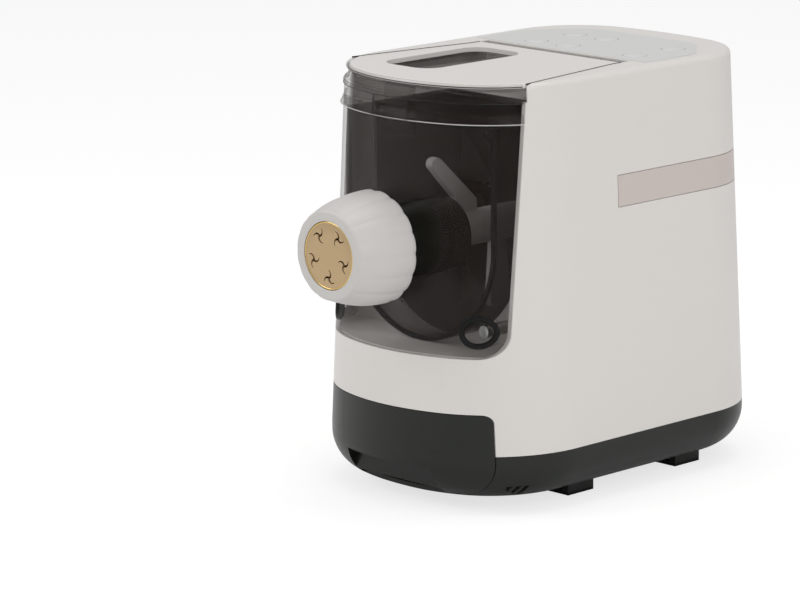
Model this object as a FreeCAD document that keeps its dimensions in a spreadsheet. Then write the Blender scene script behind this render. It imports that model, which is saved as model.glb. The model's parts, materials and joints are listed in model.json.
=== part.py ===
import FreeCAD, Part
import math
import os
import re
import Sketcher

# Electric pasta maker: a drafted white housing on a black base, a smoke front cover with the
# extrusion nozzle, a hinged lid, a drawer, and the motor and gears that turn the mixing paddle.
# +Z is up, the nozzle points to -Y, and the origin is on the table under the middle of the whole.

Vector = FreeCAD.Vector
HALF_TURN = math.pi
QUARTER_TURN = math.pi / 2

doc = FreeCAD.newDocument("pasta_maker")
sizes = doc.addObject("Spreadsheet::Sheet", "sizes")

# Driving dimensions, in millimetres and degrees
DIMENSIONS = {
    # Plan outline of the housing at the base seam, and its draft
    "body_half": 100,
    "body_front": 132,
    "body_rear": 164,
    "front_arc": 137,
    "front_corner": 80,
    "rear_arc": 279,
    "rear_corner": 67,
    "draft": 2.5,
    "seam_height": 41,
    "top_height": 288,
    "wall": 3,
    "top_round": 4,
    "skin_gap": 0.2,
    "seam_gap": 0.5,
    "contact_gap": 0.3,
    "plate_thick": 3,

    # Base, feet, vents and drawer
    "base_bottom": 8,
    "base_round": 28,
    "pad_height": 2,
    "foot_width": 25,
    "foot_margin": 25,
    "foot_setback": 102,
    "foot_rear_setback": 86,
    "foot_embed": 5,
    "foot_slot": 2,
    "foot_slot_depth": 3,
    "foot_slot_pitch": 7,
    "vent_width": 3,
    "vent_pitch": 6,
    "vent_length": 40,
    "vent_first_y": 24,
    "side_vent_top": 11,
    "side_vent_setback": 39,
    "side_vent_pitch": 5,
    "side_vent_inset": 24,
    "drawer_top": 69,
    "drawer_setback": 29,
    "drawer_corner": 6,
    "tray_margin": 42,
    "tray_rear": 2,
    "tray_rise": 5.3,
    "tray_drop": 9,
    "tray_wall": 2,
    "runner_inset": 18,
    "runner_width": 5,
    "grip_margin": 60.5,
    "grip_height": 23,
    "grip_lip": 7.5,
    "grip_face": 14,
    "grip_depth": 22,
    "grip_wall": 2.5,

    # Front cover, nozzle and die
    "skirt_drop": 27,
    "cover_overlap": 1,
    "cover_low_setback": 38,
    "cover_high_setback": 54,
    "cover_corner": 18,
    "cover_wall": 2.5,
    "nozzle_height": 177,
    "barrel_radius": 25.5,
    "barrel_bore": 22.5,
    "barrel_inset": 21,
    "nut_length": 44.5,
    "nut_standoff": 3.5,
    "nut_rear_radius": 38.2,
    "nut_front_radius": 30.5,
    "nut_mouth": 23,
    "nut_lip": 2.5,
    "nut_wall": 4,
    "nut_skirt": 16,
    "nut_round": 1.5,
    "lobe_depth": 1.2,
    "lobe_count": 16,
    "die_flange": 7,
    "die_radius": 25,
    "die_face_step": 2,
    "slot_circle": 15,
    "slot_arm": 5,
    "slot_width": 1.3,
    "pin_margin": 33,
    "pin_rise": 17,
    "pin_radius": 4.2,
    "pin_setback": 29,
    "window_radius": 9,
    "window_wall": 1.5,
    "window_setback": 35,

    # Drum, its door and seal, paddle and auger
    "drum_margin": 30,
    "drum_wall": 3,
    "drum_setback": 39,
    "drum_rear": 5,
    "drum_drop": 30,
    "seal_width": 2.5,
    "frame_setback": 62,
    "hub_radius": 12,
    "hub_inset": 27,
    "hub_cap": 10,
    "arm_half": 3,
    "arm_root": 6,
    "arm_width": 16,
    "arm_reach": 24,
    "arm_tip": 10,
    "arm_round": 4,
    "arm_clearance": 17,
    "short_arm_clearance": 12,
    "auger_core": 9,
    "auger_inset": 21,
    "auger_clearance": 1.5,
    "auger_pitch": 30,
    "flight_thick": 4,

    # Gear train and motor
    "gearbox_depth": 24,
    "gearbox_drop": 23,
    "slow_module": 1.25,
    "fast_module": 1,
    "pinion_teeth": 18,
    "output_teeth": 72,
    "idler_teeth": 54,
    "fast_width": 6,
    "slow_width": 9,
    "gear_gap": 2,
    "shaft_radius": 5,
    "thin_shaft": 3,
    "running_gap": 0.05,
    "bush_radius": 10,
    "post_radius": 4,
    "post_inset": 8,
    "screw_height": 2,
    "motor_radius": 27,
    "motor_length": 70,
    "rotor_radius": 20,
    "fan_radius": 24,
    "fan_width": 10,
    "fan_blade": 2,
    "fan_blades": 8,

    # Lid, its hinge and its filling opening
    "lid_margin_rear": 33.5,
    "lid_margin_front": 18,
    "lid_flare_start": 12,
    "lid_top_drop": 3,
    "lid_ledge_drop": 9,
    "lid_under_drop": 12,
    "lid_skin": 2.5,
    "lid_inset": 2.5,
    "hinge_y": 34,
    "hinge_drop": 4,
    "hinge_radius": 4,
    "hinge_pin": 1.5,
    "hinge_pin_length": 12,
    "fill_margin": 12.5,
    "fill_width": 48,
    "fill_setback": 51,
    "fill_hinge_gap": 20,
    "fill_corner": 14,
    "fill_floor_drop": 11,
    "slit_width": 3,
    "latch_half": 13,
    "latch_drop": 12,
    "latch_thick": 4,

    # Control panel, keys and boards
    "panel_gap": 7,
    "panel_setback": 37,
    "panel_taper_length": 35,
    "panel_margin": 21,
    "panel_taper": 31,
    "panel_round": 24,
    "panel_thick": 1,
    "panel_proud": 0.3,
    "key_radius": 8.2,
    "key_proud": 1.2,
    "key_stroke": 1,
    "key_flange": 2,
    "key_rim": 2,
    "key_inset_left": 40.5,
    "key_column_middle": -8.5,
    "key_inset_right": 25.5,
    "key_inset_front": 17,
    "key_row_pitch": 39,
    "board_thick": 1.6,
    "board_drop": 13,
    "board_inset": 9,
    "board_gap": 5,
    "board_reach": 20,
    "switch_half": 3,
    "switch_tip": 1.75,
    "mains_half": 52,
    "mains_inset": 36,
    "mains_length": 78,
    "mains_post": 6,
    "band_drop": 69.5,
    "band_width": 22,
    "band_start": -1,
    "band_thick": 1.2,
    "gland_x": -30,
    "gland_height": 60,
    "gland_radius": 8,
    "gland_bore": 3.5,
    "gland_reach": 16,
    "gland_inset": 12,
}

# Places that follow from the driving dimensions
PLACES = {
    "foot_outer": "body_half - foot_margin",
    "foot_front_y": "foot_setback - body_front",
    "foot_rear_y": "body_rear - foot_rear_setback",
    "drawer_edge": "body_front - drawer_setback",
    "tray_half": "body_half - tray_margin",
    "tray_low": "base_bottom + wall + tray_rise",
    "tray_top": "drawer_top - tray_drop",
    "runner_x": "tray_half - runner_inset",
    "grip_half": "body_half - grip_margin",
    "drum_radius": "body_half - drum_margin",
    "drum_front": "body_front - drum_setback",
    "drum_top": "top_height - drum_drop",
    "frame_front": "body_front - frame_setback",
    "cover_low": "nozzle_height - drum_radius - cover_overlap",
    "cover_high": "top_height - skirt_drop",
    "cover_edge_low": "body_front - cover_low_setback",
    "cover_edge_high": "body_front - cover_high_setback",
    "barrel_rear": "drum_front - barrel_inset",
    "nut_rear": "body_front + nut_standoff",
    "nut_front": "nut_rear + nut_length",
    "pin_x": "body_half - pin_margin",
    "pin_height": "nozzle_height - drum_radius + pin_rise",
    "pin_front": "body_front - pin_setback",
    "window_floor": "body_front - window_setback",
    "hub_front": "drum_front - hub_inset",
    "auger_front": "nut_front - auger_inset",
    "gearbox_top": "drum_top - gearbox_drop",
    "plate_half": "slow_module * (output_teeth + 2) / 2 + gear_gap + post_radius + post_inset",
    "lid_half_rear": "body_half - lid_margin_rear",
    "lid_half_front": "body_half - lid_margin_front",
    "lid_top": "top_height - lid_top_drop",
    "lid_ledge": "top_height - lid_ledge_drop",
    "lid_under": "top_height - lid_under_drop",
    "fill_floor": "top_height - fill_floor_drop",
    "fill_left": "fill_margin - lid_half_rear",
    "fill_right": "fill_left + fill_width",
    "fill_front": "fill_setback - body_front",
    "fill_rear": "hinge_y - fill_hinge_gap",
    "latch_low": "cover_high - latch_drop",
    "panel_front": "hinge_y + panel_gap",
    "panel_rear": "body_rear - panel_setback",
    "panel_side_y": "panel_rear - panel_taper_length",
    "panel_half": "body_half - panel_margin",
    "panel_rear_half": "panel_half - panel_taper",
    "key_column_left": "key_inset_left - panel_half",
    "key_column_right": "panel_half - key_inset_right",
    "key_row_front": "panel_front + key_inset_front",
    "key_row_rear": "key_row_front + key_row_pitch",
    "band_high": "top_height - band_drop",
    "band_low": "band_high - band_width",
    "gland_rear": "body_rear + gland_reach",
    "gland_inner": "body_rear - gland_inset",
}
for row, (name, length) in enumerate(DIMENSIONS.items(), 1):
    sizes.set(f"A{row}", str(length))
    sizes.setAlias(f"A{row}", name)
probe = doc.addObject("App::FeaturePython", "probe")
probe.addProperty("App::PropertyFloat", "result")
doc.recompute()


def formula(text):
    """Turn a formula in plain names into one that points at the sheet."""
    def point(word):
        name = word.group()
        if name in PLACES:
            return f"({formula(PLACES[name])})"
        return f"sizes.{name}" if name in DIMENSIONS else name
    return re.sub(r"[A-Za-z_]\w*", point, str(text))


def number(text):
    """Work out a formula in plain names as a plain number."""
    probe.setExpression("result", formula(text))
    probe.recompute()
    return probe.result


def value(name):
    """The present value of one named size or place."""
    return number(name)


def bind(thing, target, text):
    thing.setExpression(target, formula(text))


def origin_plane(body, role):
    return next(plane for plane in body.Origin.OriginFeatures if plane.Role == role)


def new_sketch(body, role, offset):
    sketch = body.newObject("Sketcher::SketchObject", body.Name + "_outline")
    sketch.AttachmentSupport = [(origin_plane(body, role), "")]
    sketch.MapMode = "FlatFace"
    bind(sketch, "AttachmentOffset.Base.z", offset)
    return sketch


def box(name, low, high):
    """A block between two corners, each given as three formulas."""
    block = doc.addObject("Part::Box", name)
    for axis, side, first, last in zip("xyz", ("Length", "Width", "Height"), low, high):
        bind(block, side, f"({last}) - ({first})")
        bind(block, f"Placement.Base.{axis}", first)
    return block


TURN_TO = {
    "X": FreeCAD.Rotation(Vector(0, 1, 0), 90),
    "Y": FreeCAD.Rotation(Vector(1, 0, 0), -90),
    "Z": FreeCAD.Rotation(),
}


def rod(name, along, start, radius, length):
    """A cylinder from a start point along +X, +Y or +Z."""
    cylinder = doc.addObject("Part::Cylinder", name)
    cylinder.Placement = FreeCAD.Placement(Vector(), TURN_TO[along])
    bind(cylinder, "Radius", radius)
    bind(cylinder, "Height", length)
    for axis, place in zip("xyz", start):
        bind(cylinder, f"Placement.Base.{axis}", place)
    return cylinder


def cut(name, base, *tools):
    result = doc.addObject("Part::Cut", name)
    result.Base = base
    result.Tool = tools[0] if len(tools) == 1 else fuse(name + "_tools", *tools)
    return result


def fuse(name, *shapes):
    result = doc.addObject("Part::MultiFuse", name)
    result.Shapes = list(shapes)
    return result


def common(name, *shapes):
    result = doc.addObject("Part::MultiCommon", name)
    result.Shapes = list(shapes)
    return result


def group(name, *shapes):
    """Several separate solids under one name."""
    result = doc.addObject("Part::Compound", name)
    result.Links = list(shapes)
    return result


def drafted_form(name, inset, low, high, rounding=None):
    """The housing's plan outline, drawn inwards by inset, from one height to another.

    Above the base seam it leans in with the draft. Below it goes straight down, and its
    bottom edge is rounded."""
    body = doc.addObject("PartDesign::Body", name)
    sketch = new_sketch(body, "XY_Plane", "seam_height")
    shift = number(inset)
    half = value("body_half") - shift
    front_radius = value("front_arc") - shift
    rear_radius = value("rear_arc") - shift
    front_turn = value("front_corner") - shift
    rear_turn = value("rear_corner") - shift
    front_centre = value("front_arc") - value("body_front")
    rear_centre = value("body_rear") - value("rear_arc")
    front_x = half - front_turn
    front_y = front_centre - math.sqrt((front_radius - front_turn) ** 2 - front_x ** 2)
    rear_x = half - rear_turn
    rear_y = rear_centre + math.sqrt((rear_radius - rear_turn) ** 2 - rear_x ** 2)
    front_angle = math.atan2(front_x, front_centre - front_y)
    rear_angle = math.atan2(rear_x, rear_y - rear_centre)

    def arc(x, y, radius, start, end):
        return Part.ArcOfCircle(Part.Circle(Vector(x, y, 0), Vector(0, 0, 1), radius), start, end)

    def side(x, first, last):
        return Part.LineSegment(Vector(x, first, 0), Vector(x, last, 0))

    sketch.addGeometry([
        arc(0, front_centre, front_radius, -front_angle - QUARTER_TURN, front_angle - QUARTER_TURN),
        arc(front_x, front_y, front_turn, front_angle - QUARTER_TURN, 0),
        side(half, front_y, rear_y),
        arc(rear_x, rear_y, rear_turn, 0, QUARTER_TURN - rear_angle),
        arc(0, rear_centre, rear_radius, QUARTER_TURN - rear_angle, QUARTER_TURN + rear_angle),
        arc(-rear_x, rear_y, rear_turn, QUARTER_TURN + rear_angle, HALF_TURN),
        side(-half, rear_y, front_y),
        arc(-front_x, front_y, front_turn, HALF_TURN, HALF_TURN + QUARTER_TURN - front_angle),
    ], False)
    rules = [Sketcher.Constraint("Tangent", edge, 2, (edge + 1) % 8, 1) for edge in range(8)]
    rules += [Sketcher.Constraint("Vertical", 2), Sketcher.Constraint("Vertical", 6)]
    rules += [Sketcher.Constraint("PointOnObject", edge, 3, -2) for edge in (0, 4)]
    rules += [Sketcher.Constraint("Equal", 1, 7), Sketcher.Constraint("Equal", 3, 5)]
    sketch.addConstraint(rules)
    measures = [
        (Sketcher.Constraint("Radius", 0, front_radius), f"front_arc - ({inset})"),
        (Sketcher.Constraint("Radius", 1, front_turn), f"front_corner - ({inset})"),
        (Sketcher.Constraint("Radius", 3, rear_turn), f"rear_corner - ({inset})"),
        (Sketcher.Constraint("Radius", 4, rear_radius), f"rear_arc - ({inset})"),
        (Sketcher.Constraint("DistanceY", -1, 1, 0, 3, front_centre), "front_arc - body_front"),
        (Sketcher.Constraint("DistanceY", 4, 3, -1, 1, -rear_centre), "rear_arc - body_rear"),
        (Sketcher.Constraint("DistanceX", -1, 1, 2, 1, half), f"body_half - ({inset})"),
        (Sketcher.Constraint("DistanceX", 6, 1, -1, 1, half), f"body_half - ({inset})"),
    ]
    for rule, text in measures:
        index = sketch.addConstraint(rule)
        bind(sketch, f"Constraints[{index}]", text)
    pad = body.newObject("PartDesign::Pad", name + "_rise")
    pad.Profile = sketch
    if high is not None:
        bind(pad, "Length", f"({high}) - seam_height")
        bind(pad, "TaperAngle", "-draft * 1 deg")
    else:
        pad.Reversed = True
        bind(pad, "Length", f"seam_height - ({low})")
    doc.recompute()
    if rounding:
        end = number(high if high is not None else low)
        chosen = [f"Edge{index + 1}" for index, edge in enumerate(pad.Shape.Edges)
                  if abs(edge.BoundBox.ZMin - end) < 0.01 and abs(edge.BoundBox.ZMax - end) < 0.01]
        fillet = body.newObject("PartDesign::Fillet", name + "_round")
        fillet.Base = (pad, chosen)
        bind(fillet, "Radius", rounding)
        doc.recompute()
    return body


PLANES = {"XY": "XY_Plane", "XZ": "XZ_Plane", "YZ": "YZ_Plane"}


def prism(name, plane, points, low, high, rounds=()):
    """A straight-sided outline, each corner two formulas, carried from low to high.

    rounds pairs a corner's number with the formula of its radius."""
    body = doc.addObject("PartDesign::Body", name)
    start = f"-({high})" if plane == "XZ" else low
    sketch = new_sketch(body, PLANES[plane], start)
    places = [(number(across), number(along)) for across, along in points]
    count = len(points)
    for index in range(count):
        here = places[index]
        there = places[(index + 1) % count]
        sketch.addGeometry(Part.LineSegment(Vector(*here, 0), Vector(*there, 0)), False)
    for index in range(count):
        sketch.addConstraint(Sketcher.Constraint("Coincident", index, 2, (index + 1) % count, 1))
    for index, (across, along) in enumerate(points):
        for kind, text, place in zip(("DistanceX", "DistanceY"), (across, along), places[index]):
            rule = sketch.addConstraint(Sketcher.Constraint(kind, -1, 1, index, 1, place))
            bind(sketch, f"Constraints[{rule}]", text)
    pad = body.newObject("PartDesign::Pad", name + "_rise")
    pad.Profile = sketch
    bind(pad, "Length", f"({high}) - ({low})")
    doc.recompute()
    last = pad
    for corner, radius in rounds:
        across, along = places[corner]
        chosen = []
        for index, edge in enumerate(last.Shape.Edges):
            middle = edge.CenterOfMass
            flat = {"XY": (middle.x, middle.y), "XZ": (middle.x, middle.z),
                    "YZ": (middle.y, middle.z)}[plane]
            if math.hypot(flat[0] - across, flat[1] - along) < 0.01:
                chosen.append(f"Edge{index + 1}")
        fillet = body.newObject("PartDesign::Fillet", f"{name}_round{corner}")
        fillet.Base = (last, chosen)
        bind(fillet, "Radius", radius)
        doc.recompute()
        last = fillet
    return body


def turned(name, points):
    """A body of revolution about the nozzle axis from an outline of radius and -Y place."""
    body = doc.addObject("PartDesign::Body", name)
    sketch = new_sketch(body, "YZ_Plane", "0")
    places = [(-number(ahead), value("nozzle_height") + number(radius)) for radius, ahead in points]
    count = len(points)
    for index in range(count):
        there = places[(index + 1) % count]
        sketch.addGeometry(Part.LineSegment(Vector(*places[index], 0), Vector(*there, 0)), False)
    for index in range(count):
        sketch.addConstraint(Sketcher.Constraint("Coincident", index, 2, (index + 1) % count, 1))
    for index, (radius, ahead) in enumerate(points):
        across = sketch.addConstraint(
            Sketcher.Constraint("DistanceX", -1, 1, index, 1, places[index][0]))
        bind(sketch, f"Constraints[{across}]", f"-({ahead})")
        along = sketch.addConstraint(
            Sketcher.Constraint("DistanceY", -1, 1, index, 1, places[index][1]))
        bind(sketch, f"Constraints[{along}]", f"nozzle_height + ({radius})")
    axis_half = value("nut_length") / 2
    line = sketch.addGeometry(Part.LineSegment(
        Vector(-axis_half, value("nozzle_height"), 0), Vector(axis_half, value("nozzle_height"), 0)),
        True)
    sketch.addConstraint(Sketcher.Constraint("Horizontal", line))
    rule = sketch.addConstraint(
        Sketcher.Constraint("DistanceY", -1, 1, line, 1, value("nozzle_height")))
    bind(sketch, f"Constraints[{rule}]", "nozzle_height")
    spin = body.newObject("PartDesign::Revolution", name + "_spin")
    spin.Profile = sketch
    spin.ReferenceAxis = (sketch, ["Axis0"])
    spin.Angle = 360
    doc.recompute()
    return body


def shaped(name, shape):
    """A piece whose form comes from a formula, such as gear teeth or a screw flight."""
    feature = doc.addObject("Part::Feature", name)
    feature.Shape = shape
    return feature


def gear(name, module, teeth, bore, height, start, width, facing, backlash=0.12):
    """A spur gear along +Y with straight-chorded involute flanks.

    facing is where a tooth stands: a shift of half a tooth turns a gap there instead."""
    pressure = math.radians(20)
    count = int(teeth)
    pitch = module * count / 2
    base = pitch * math.cos(pressure)
    tip = pitch + module
    root = pitch - 1.25 * module
    unroll = math.tan(pressure) - pressure
    half_tooth = HALF_TURN / (2 * count) - backlash / (2 * pitch) + unroll
    steps = 4
    flank = []
    for step in range(steps + 1):
        radius = max(base, root) + (tip - max(base, root)) * step / steps
        roll = math.acos(min(1, base / radius))
        flank.append((radius, half_tooth - (math.tan(roll) - roll)))
    one = [(root, half_tooth)] + flank
    one = one + [(radius, -angle) for radius, angle in reversed(one)]
    corners = []
    for tooth in range(count):
        centre = facing + 2 * HALF_TURN * tooth / count
        for radius, angle in reversed(one):
            turn = centre + angle
            corners.append(Vector(radius * math.cos(turn), start, height + radius * math.sin(turn)))
    outline = Part.makePolygon(corners + corners[:1])
    blank = Part.Face(outline).extrude(Vector(0, width, 0))
    hole = Part.makeCylinder(bore, width, Vector(0, start, height), Vector(0, 1, 0))
    return shaped(name, blank.cut(hole))


nodes = []


def piece(label, thing):
    """Name a finished sub-part."""
    thing.Label = label
    nodes.append(thing)
    return thing


FAR = "body_half + 40"
AHEAD = "-(body_front + 60)"
BEHIND = "body_rear + 40"

# Forms of the housing that several pieces share
outer = drafted_form("outer_form", "0", None, "top_height", "top_round")
hollow = drafted_form("hollow_form", "wall", None, "top_height - wall")
lining = drafted_form("lining_form", "wall + skin_gap", None, "top_height - wall")
cover_hollow = drafted_form("cover_hollow", "cover_wall", None, "top_height - wall")
cover_lining = drafted_form("cover_lining", "cover_wall + skin_gap", None, "top_height - wall")
base_outer = drafted_form("base_outer", "0", "base_bottom", None, "base_round")
base_hollow = drafted_form("base_hollow", "wall", "base_bottom + wall", None, "base_round - wall")
band_floor = drafted_form("band_floor", "band_thick", None, "top_height")
band_reach = drafted_form("band_reach", "-wall", None, "top_height")


def cover_zone(name, low, high, gap):
    """The front of the housing that the cover or the lid's skirt fills, seen from the side."""
    lean = "(cover_edge_low - cover_edge_high) / (top_height - cover_low)"
    at_low = f"-cover_edge_low + ({low} - cover_low) * {lean} - ({gap})"
    at_high = f"-cover_edge_low + ({high} - cover_low) * {lean} - ({gap})"
    rounds = ((1, f"cover_corner - ({gap})"),) if low == "cover_low" else ()
    floor = f"{low} + ({gap})" if low == "cover_low" else low
    points = [(AHEAD, floor), (at_low, floor), (at_high, high), (AHEAD, high)]
    return prism(name, "YZ", points, f"-({FAR})", FAR, rounds)


def lid_plan(name, low, high, gap):
    """The lid seen from above, from its hinge to beyond the front of the housing."""
    points = [
        (f"-lid_half_rear + ({gap})", f"hinge_y + hinge_radius + seam_gap - ({gap})"),
        (f"-lid_half_rear + ({gap})", "hinge_y - lid_flare_start"),
        (f"-lid_half_front + ({gap})", f"-cover_edge_high - ({gap})"),
        (f"-({FAR})", f"-cover_edge_high - ({gap})"),
        (f"-({FAR})", AHEAD),
        (FAR, AHEAD),
        (FAR, f"-cover_edge_high - ({gap})"),
        (f"lid_half_front - ({gap})", f"-cover_edge_high - ({gap})"),
        (f"lid_half_rear - ({gap})", "hinge_y - lid_flare_start"),
        (f"lid_half_rear - ({gap})", f"hinge_y + hinge_radius + seam_gap - ({gap})"),
    ]
    return prism(name, "XY", points, low, high)


whole_front = cover_zone("whole_front", "cover_low", "top_height + 5", "0")
lid_well = lid_plan("lid_well", "lid_under", "top_height + 5", "0")
well_wall = lid_plan("well_wall", "drum_top", "top_height - wall / 2", "-wall")
well_inside = lid_plan("well_inside", "drum_top - 1", "top_height + 5", "0")


def drawer_area(name, gap):
    """The front corner of the body that the drawer fills, seen from the side."""
    points = [(AHEAD, "0"), (f"-drawer_edge - ({gap})", "0"),
              (f"-drawer_edge - ({gap})", f"drawer_top - ({gap})"), (AHEAD, f"drawer_top - ({gap})")]
    return prism(name, "YZ", points, f"-({FAR})", FAR, [(2, f"drawer_corner - ({gap})")])


drawer_zone = drawer_area("drawer_zone", "0")

# White housing
ring_above_seam = cut("ring_above_seam", outer, hollow)
well_lip = cut("well_lip", common("well_band", well_wall, hollow), well_inside)
band_zone = box("band_zone", (f"-({FAR})", "band_start", "band_low"), (FAR, BEHIND, "band_high"))
band_groove = cut("band_groove", common("band_slab", band_reach, band_zone), band_floor)
panel_points = [
    ("-panel_half", "panel_front"), ("panel_half", "panel_front"),
    ("panel_half", "panel_side_y"), ("panel_rear_half", "panel_rear"),
    ("-panel_rear_half", "panel_rear"), ("-panel_half", "panel_side_y"),
]
panel_rounds = [(corner, "panel_round") for corner in (2, 3, 4, 5)]
panel_seat = prism("panel_seat", "XY", panel_points, "top_height - panel_thick",
                   "top_height + 5", panel_rounds)
key_places = [(column, row) for row in ("key_row_front", "key_row_rear")
              for column in ("key_column_left", "key_column_middle", "key_column_right")]
key_holes = [rod(f"key_hole_{number_}", "Z", (x, y, "top_height - wall - 1"),
                 "key_radius + contact_gap", "wall + 6")
             for number_, (x, y) in enumerate(key_places, 1)]
key_shafts = fuse("key_shafts", *key_holes)
gland_hole = rod("gland_hole", "Y", ("gland_x", "gland_inner", "gland_height"), "gland_radius",
                 "gland_rear - gland_inner")
hinge_left = rod("hinge_left_hole", "X", (
    "-lid_half_rear - hinge_pin_length / 2", "hinge_y", "top_height - hinge_drop"),
    "hinge_pin", "hinge_pin_length")
hinge_right = rod("hinge_right_hole", "X", (
    "lid_half_rear - hinge_pin_length / 2", "hinge_y", "top_height - hinge_drop"),
    "hinge_pin", "hinge_pin_length")
housing_blank = fuse("housing_blank", ring_above_seam, well_lip)
housing = piece("housing_shell", cut(
    "housing", housing_blank, whole_front, lid_well, drawer_zone, band_groove, panel_seat,
    key_shafts, gland_hole, hinge_left, hinge_right))

# Black base, its vents, feet and rubber pads
base_ring = cut("base_ring", base_outer, base_hollow)
vents = [box(f"vent_{row}_{side}", (
    f"{side} * (foot_outer - foot_width) / 2 - vent_length / 4",
    f"vent_first_y + {row} * vent_pitch", "base_bottom - 1"), (
    f"{side} * (foot_outer - foot_width) / 2 + vent_length / 4",
    f"vent_first_y + {row} * vent_pitch + vent_width", "base_bottom + wall + 1"))
    for row in range(5) for side in (-1, 1)]
side_vents = [box(f"side_vent_{row}_{name}", (
    "body_half - side_vent_inset" if side > 0 else f"-({FAR})",
    f"side_vent_setback - body_front + {row} * side_vent_pitch", "0"), (
    FAR if side > 0 else "side_vent_inset - body_half",
    f"side_vent_setback - body_front + {row} * side_vent_pitch + vent_width",
    "base_bottom + side_vent_top")) for row in range(3) for name, side in (("left", -1), ("right", 1))]
runners = [box(f"runner_{name}", (f"{side} * runner_x - runner_width / 2", "-drawer_edge + seam_gap + 4",
                                  "base_bottom + wall / 2"),
               (f"{side} * runner_x + runner_width / 2", "tray_rear", "tray_low - contact_gap"))
           for name, side in (("left", -1), ("right", 1))]
runner_pair = common("runner_pair", fuse("runner_bars", *runners), base_outer)
piece("base_tray", cut("base", fuse("base_joined", base_ring, runner_pair), drawer_zone, *vents,
                       *side_vents))


def foot_block(name, side, first, low, high):
    near = "foot_outer - foot_width"
    low_x = near if side > 0 else "-foot_outer"
    high_x = "foot_outer" if side > 0 else f"-({near})"
    return box(name, (low_x, first, low), (high_x, f"{first} + foot_width", high))


foot_corners = [(side, first) for side in (-1, 1) for first in ("foot_front_y", "foot_rear_y")]
feet = []
pads = []
for index, (side, first) in enumerate(foot_corners, 1):
    block = foot_block(f"foot_block_{index}", side, first, "pad_height", "base_bottom + foot_embed")
    slots = [box(f"foot_slot_{index}_{row}", (
        f"{side} * (foot_outer - {row} * foot_slot_pitch) - foot_slot / 2", f"{first} - 1", "0"), (
        f"{side} * (foot_outer - {row} * foot_slot_pitch) + foot_slot / 2",
        f"{first} + foot_slot_depth", "base_bottom + foot_embed + 1")) for row in (1, 2)]
    feet.append(cut(f"foot_{index}", block, base_outer, *slots))
    pads.append(foot_block(f"foot_pad_{index}", side, first, "0", "pad_height"))
piece("base_feet", group("feet", *feet))
piece("foot_pads", group("pads", *pads))

# Drawer: a front that carries the housing's outline on, and a tray behind it
drawer_inside = drawer_area("drawer_inside", "seam_gap")
front_skin = cut("front_skin", fuse("front_block", outer, base_outer),
                 fuse("front_room", hollow, base_hollow))
front_backing = common(
    "front_backing", fuse("front_solid", hollow, base_hollow),
    box("front_back_plate",
        (f"-({FAR})", "-drawer_edge - seam_gap - plate_thick", "0"),
        (FAR, "-drawer_edge - seam_gap", "drawer_top - seam_gap")))
grip_room = box("grip_room", ("-grip_half", AHEAD, "base_bottom + grip_lip"),
                ("grip_half", "-body_front + grip_face", "base_bottom + grip_height"))
grip_below = box("grip_below", ("-grip_half", AHEAD, "0"),
                 ("grip_half", "-body_front + grip_depth", "base_bottom + grip_lip"))
grip_block = box("grip_block", (
    "-grip_half - grip_wall", AHEAD, "base_bottom + grip_lip"), (
    "grip_half + grip_wall", "-body_front + grip_face + grip_wall",
    "base_bottom + grip_height + grip_wall"))
grip_lining = common("grip_lining", grip_block, fuse("front_form", outer, base_outer), drawer_inside)
drawer_blank = common("drawer_blank", front_skin, drawer_inside)
drawer_front = piece("drawer_front", cut(
    "drawer_face", fuse("drawer_joined", drawer_blank, front_backing, grip_lining), grip_room,
    grip_below))
tray_block = box("tray_block",
                 ("-tray_half", "-drawer_edge - seam_gap", "tray_low"),
                 ("tray_half", "tray_rear", "tray_top"))
tray_room = box("tray_room", (
    "-tray_half + tray_wall", "-drawer_edge - seam_gap + tray_wall", "tray_low + tray_wall"),
    ("tray_half - tray_wall", "tray_rear - tray_wall", "tray_top + 1"))
piece("drawer_tray", cut("tray", tray_block, tray_room))

# White inner frame that holds the drum: wall, floor and deck
drum_length = "drum_front + drum_rear"
drum_start = ("0", "-drum_front", "nozzle_height")
drum_round = common("drum_round", rod("drum_cylinder", "Y", drum_start, "drum_radius", drum_length),
                    box("drum_below", ("-drum_radius", "-drum_front", "0"),
                        ("drum_radius", "drum_rear", "nozzle_height")))
drum_square = box("drum_square", ("-drum_radius", "-drum_front", "nozzle_height"),
                  ("drum_radius", "drum_rear", "drum_top"))
drum_outside = fuse("drum_outside", drum_round, drum_square)
frame_wall = box("frame_wall", (f"-({FAR})", "-frame_front", "nozzle_height - drum_radius - wall"),
                 (FAR, "-frame_front + wall", "drum_top"))
frame_floor = box("frame_floor", (f"-({FAR})", AHEAD, "nozzle_height - drum_radius - wall"),
                  (FAR, "-frame_front", "nozzle_height - drum_radius"))
frame_deck = box("frame_deck", (f"-({FAR})", "-frame_front", "drum_top - wall"),
                 (FAR, "hinge_y + hinge_radius", "drum_top"))
piece("front_frame", cut(
    "inner_frame", common("frame_inside", fuse("frame_slabs", frame_wall, frame_floor, frame_deck),
                          lining), drum_outside))

# Smoke drum, open to the top and the front
drum_bore = rod("drum_bore", "Y", ("0", "-drum_front - 1", "nozzle_height"),
                "drum_radius - drum_wall", "drum_front + drum_rear + 1 - drum_wall")
drum_room = box("drum_room", ("-drum_radius + drum_wall", "-drum_front - 1", "nozzle_height"),
                ("drum_radius - drum_wall", "drum_rear - drum_wall", "drum_top + 1"))
drum_hole = rod("drum_hole", "Y", ("0", "0", "nozzle_height"), "bush_radius", "drum_rear + 1")
piece("mixing_drum", cut("drum", drum_outside, drum_bore, drum_room, drum_hole))

# Locating pins for the front cover
pins = [rod(f"pin_{name}", "Y", (f"{side} * pin_x", "-pin_front", "pin_height"), "pin_radius",
            "pin_front - frame_front") for name, side in (("left", -1), ("right", 1))]
piece("locating_pins", group("pins", *pins))

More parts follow.
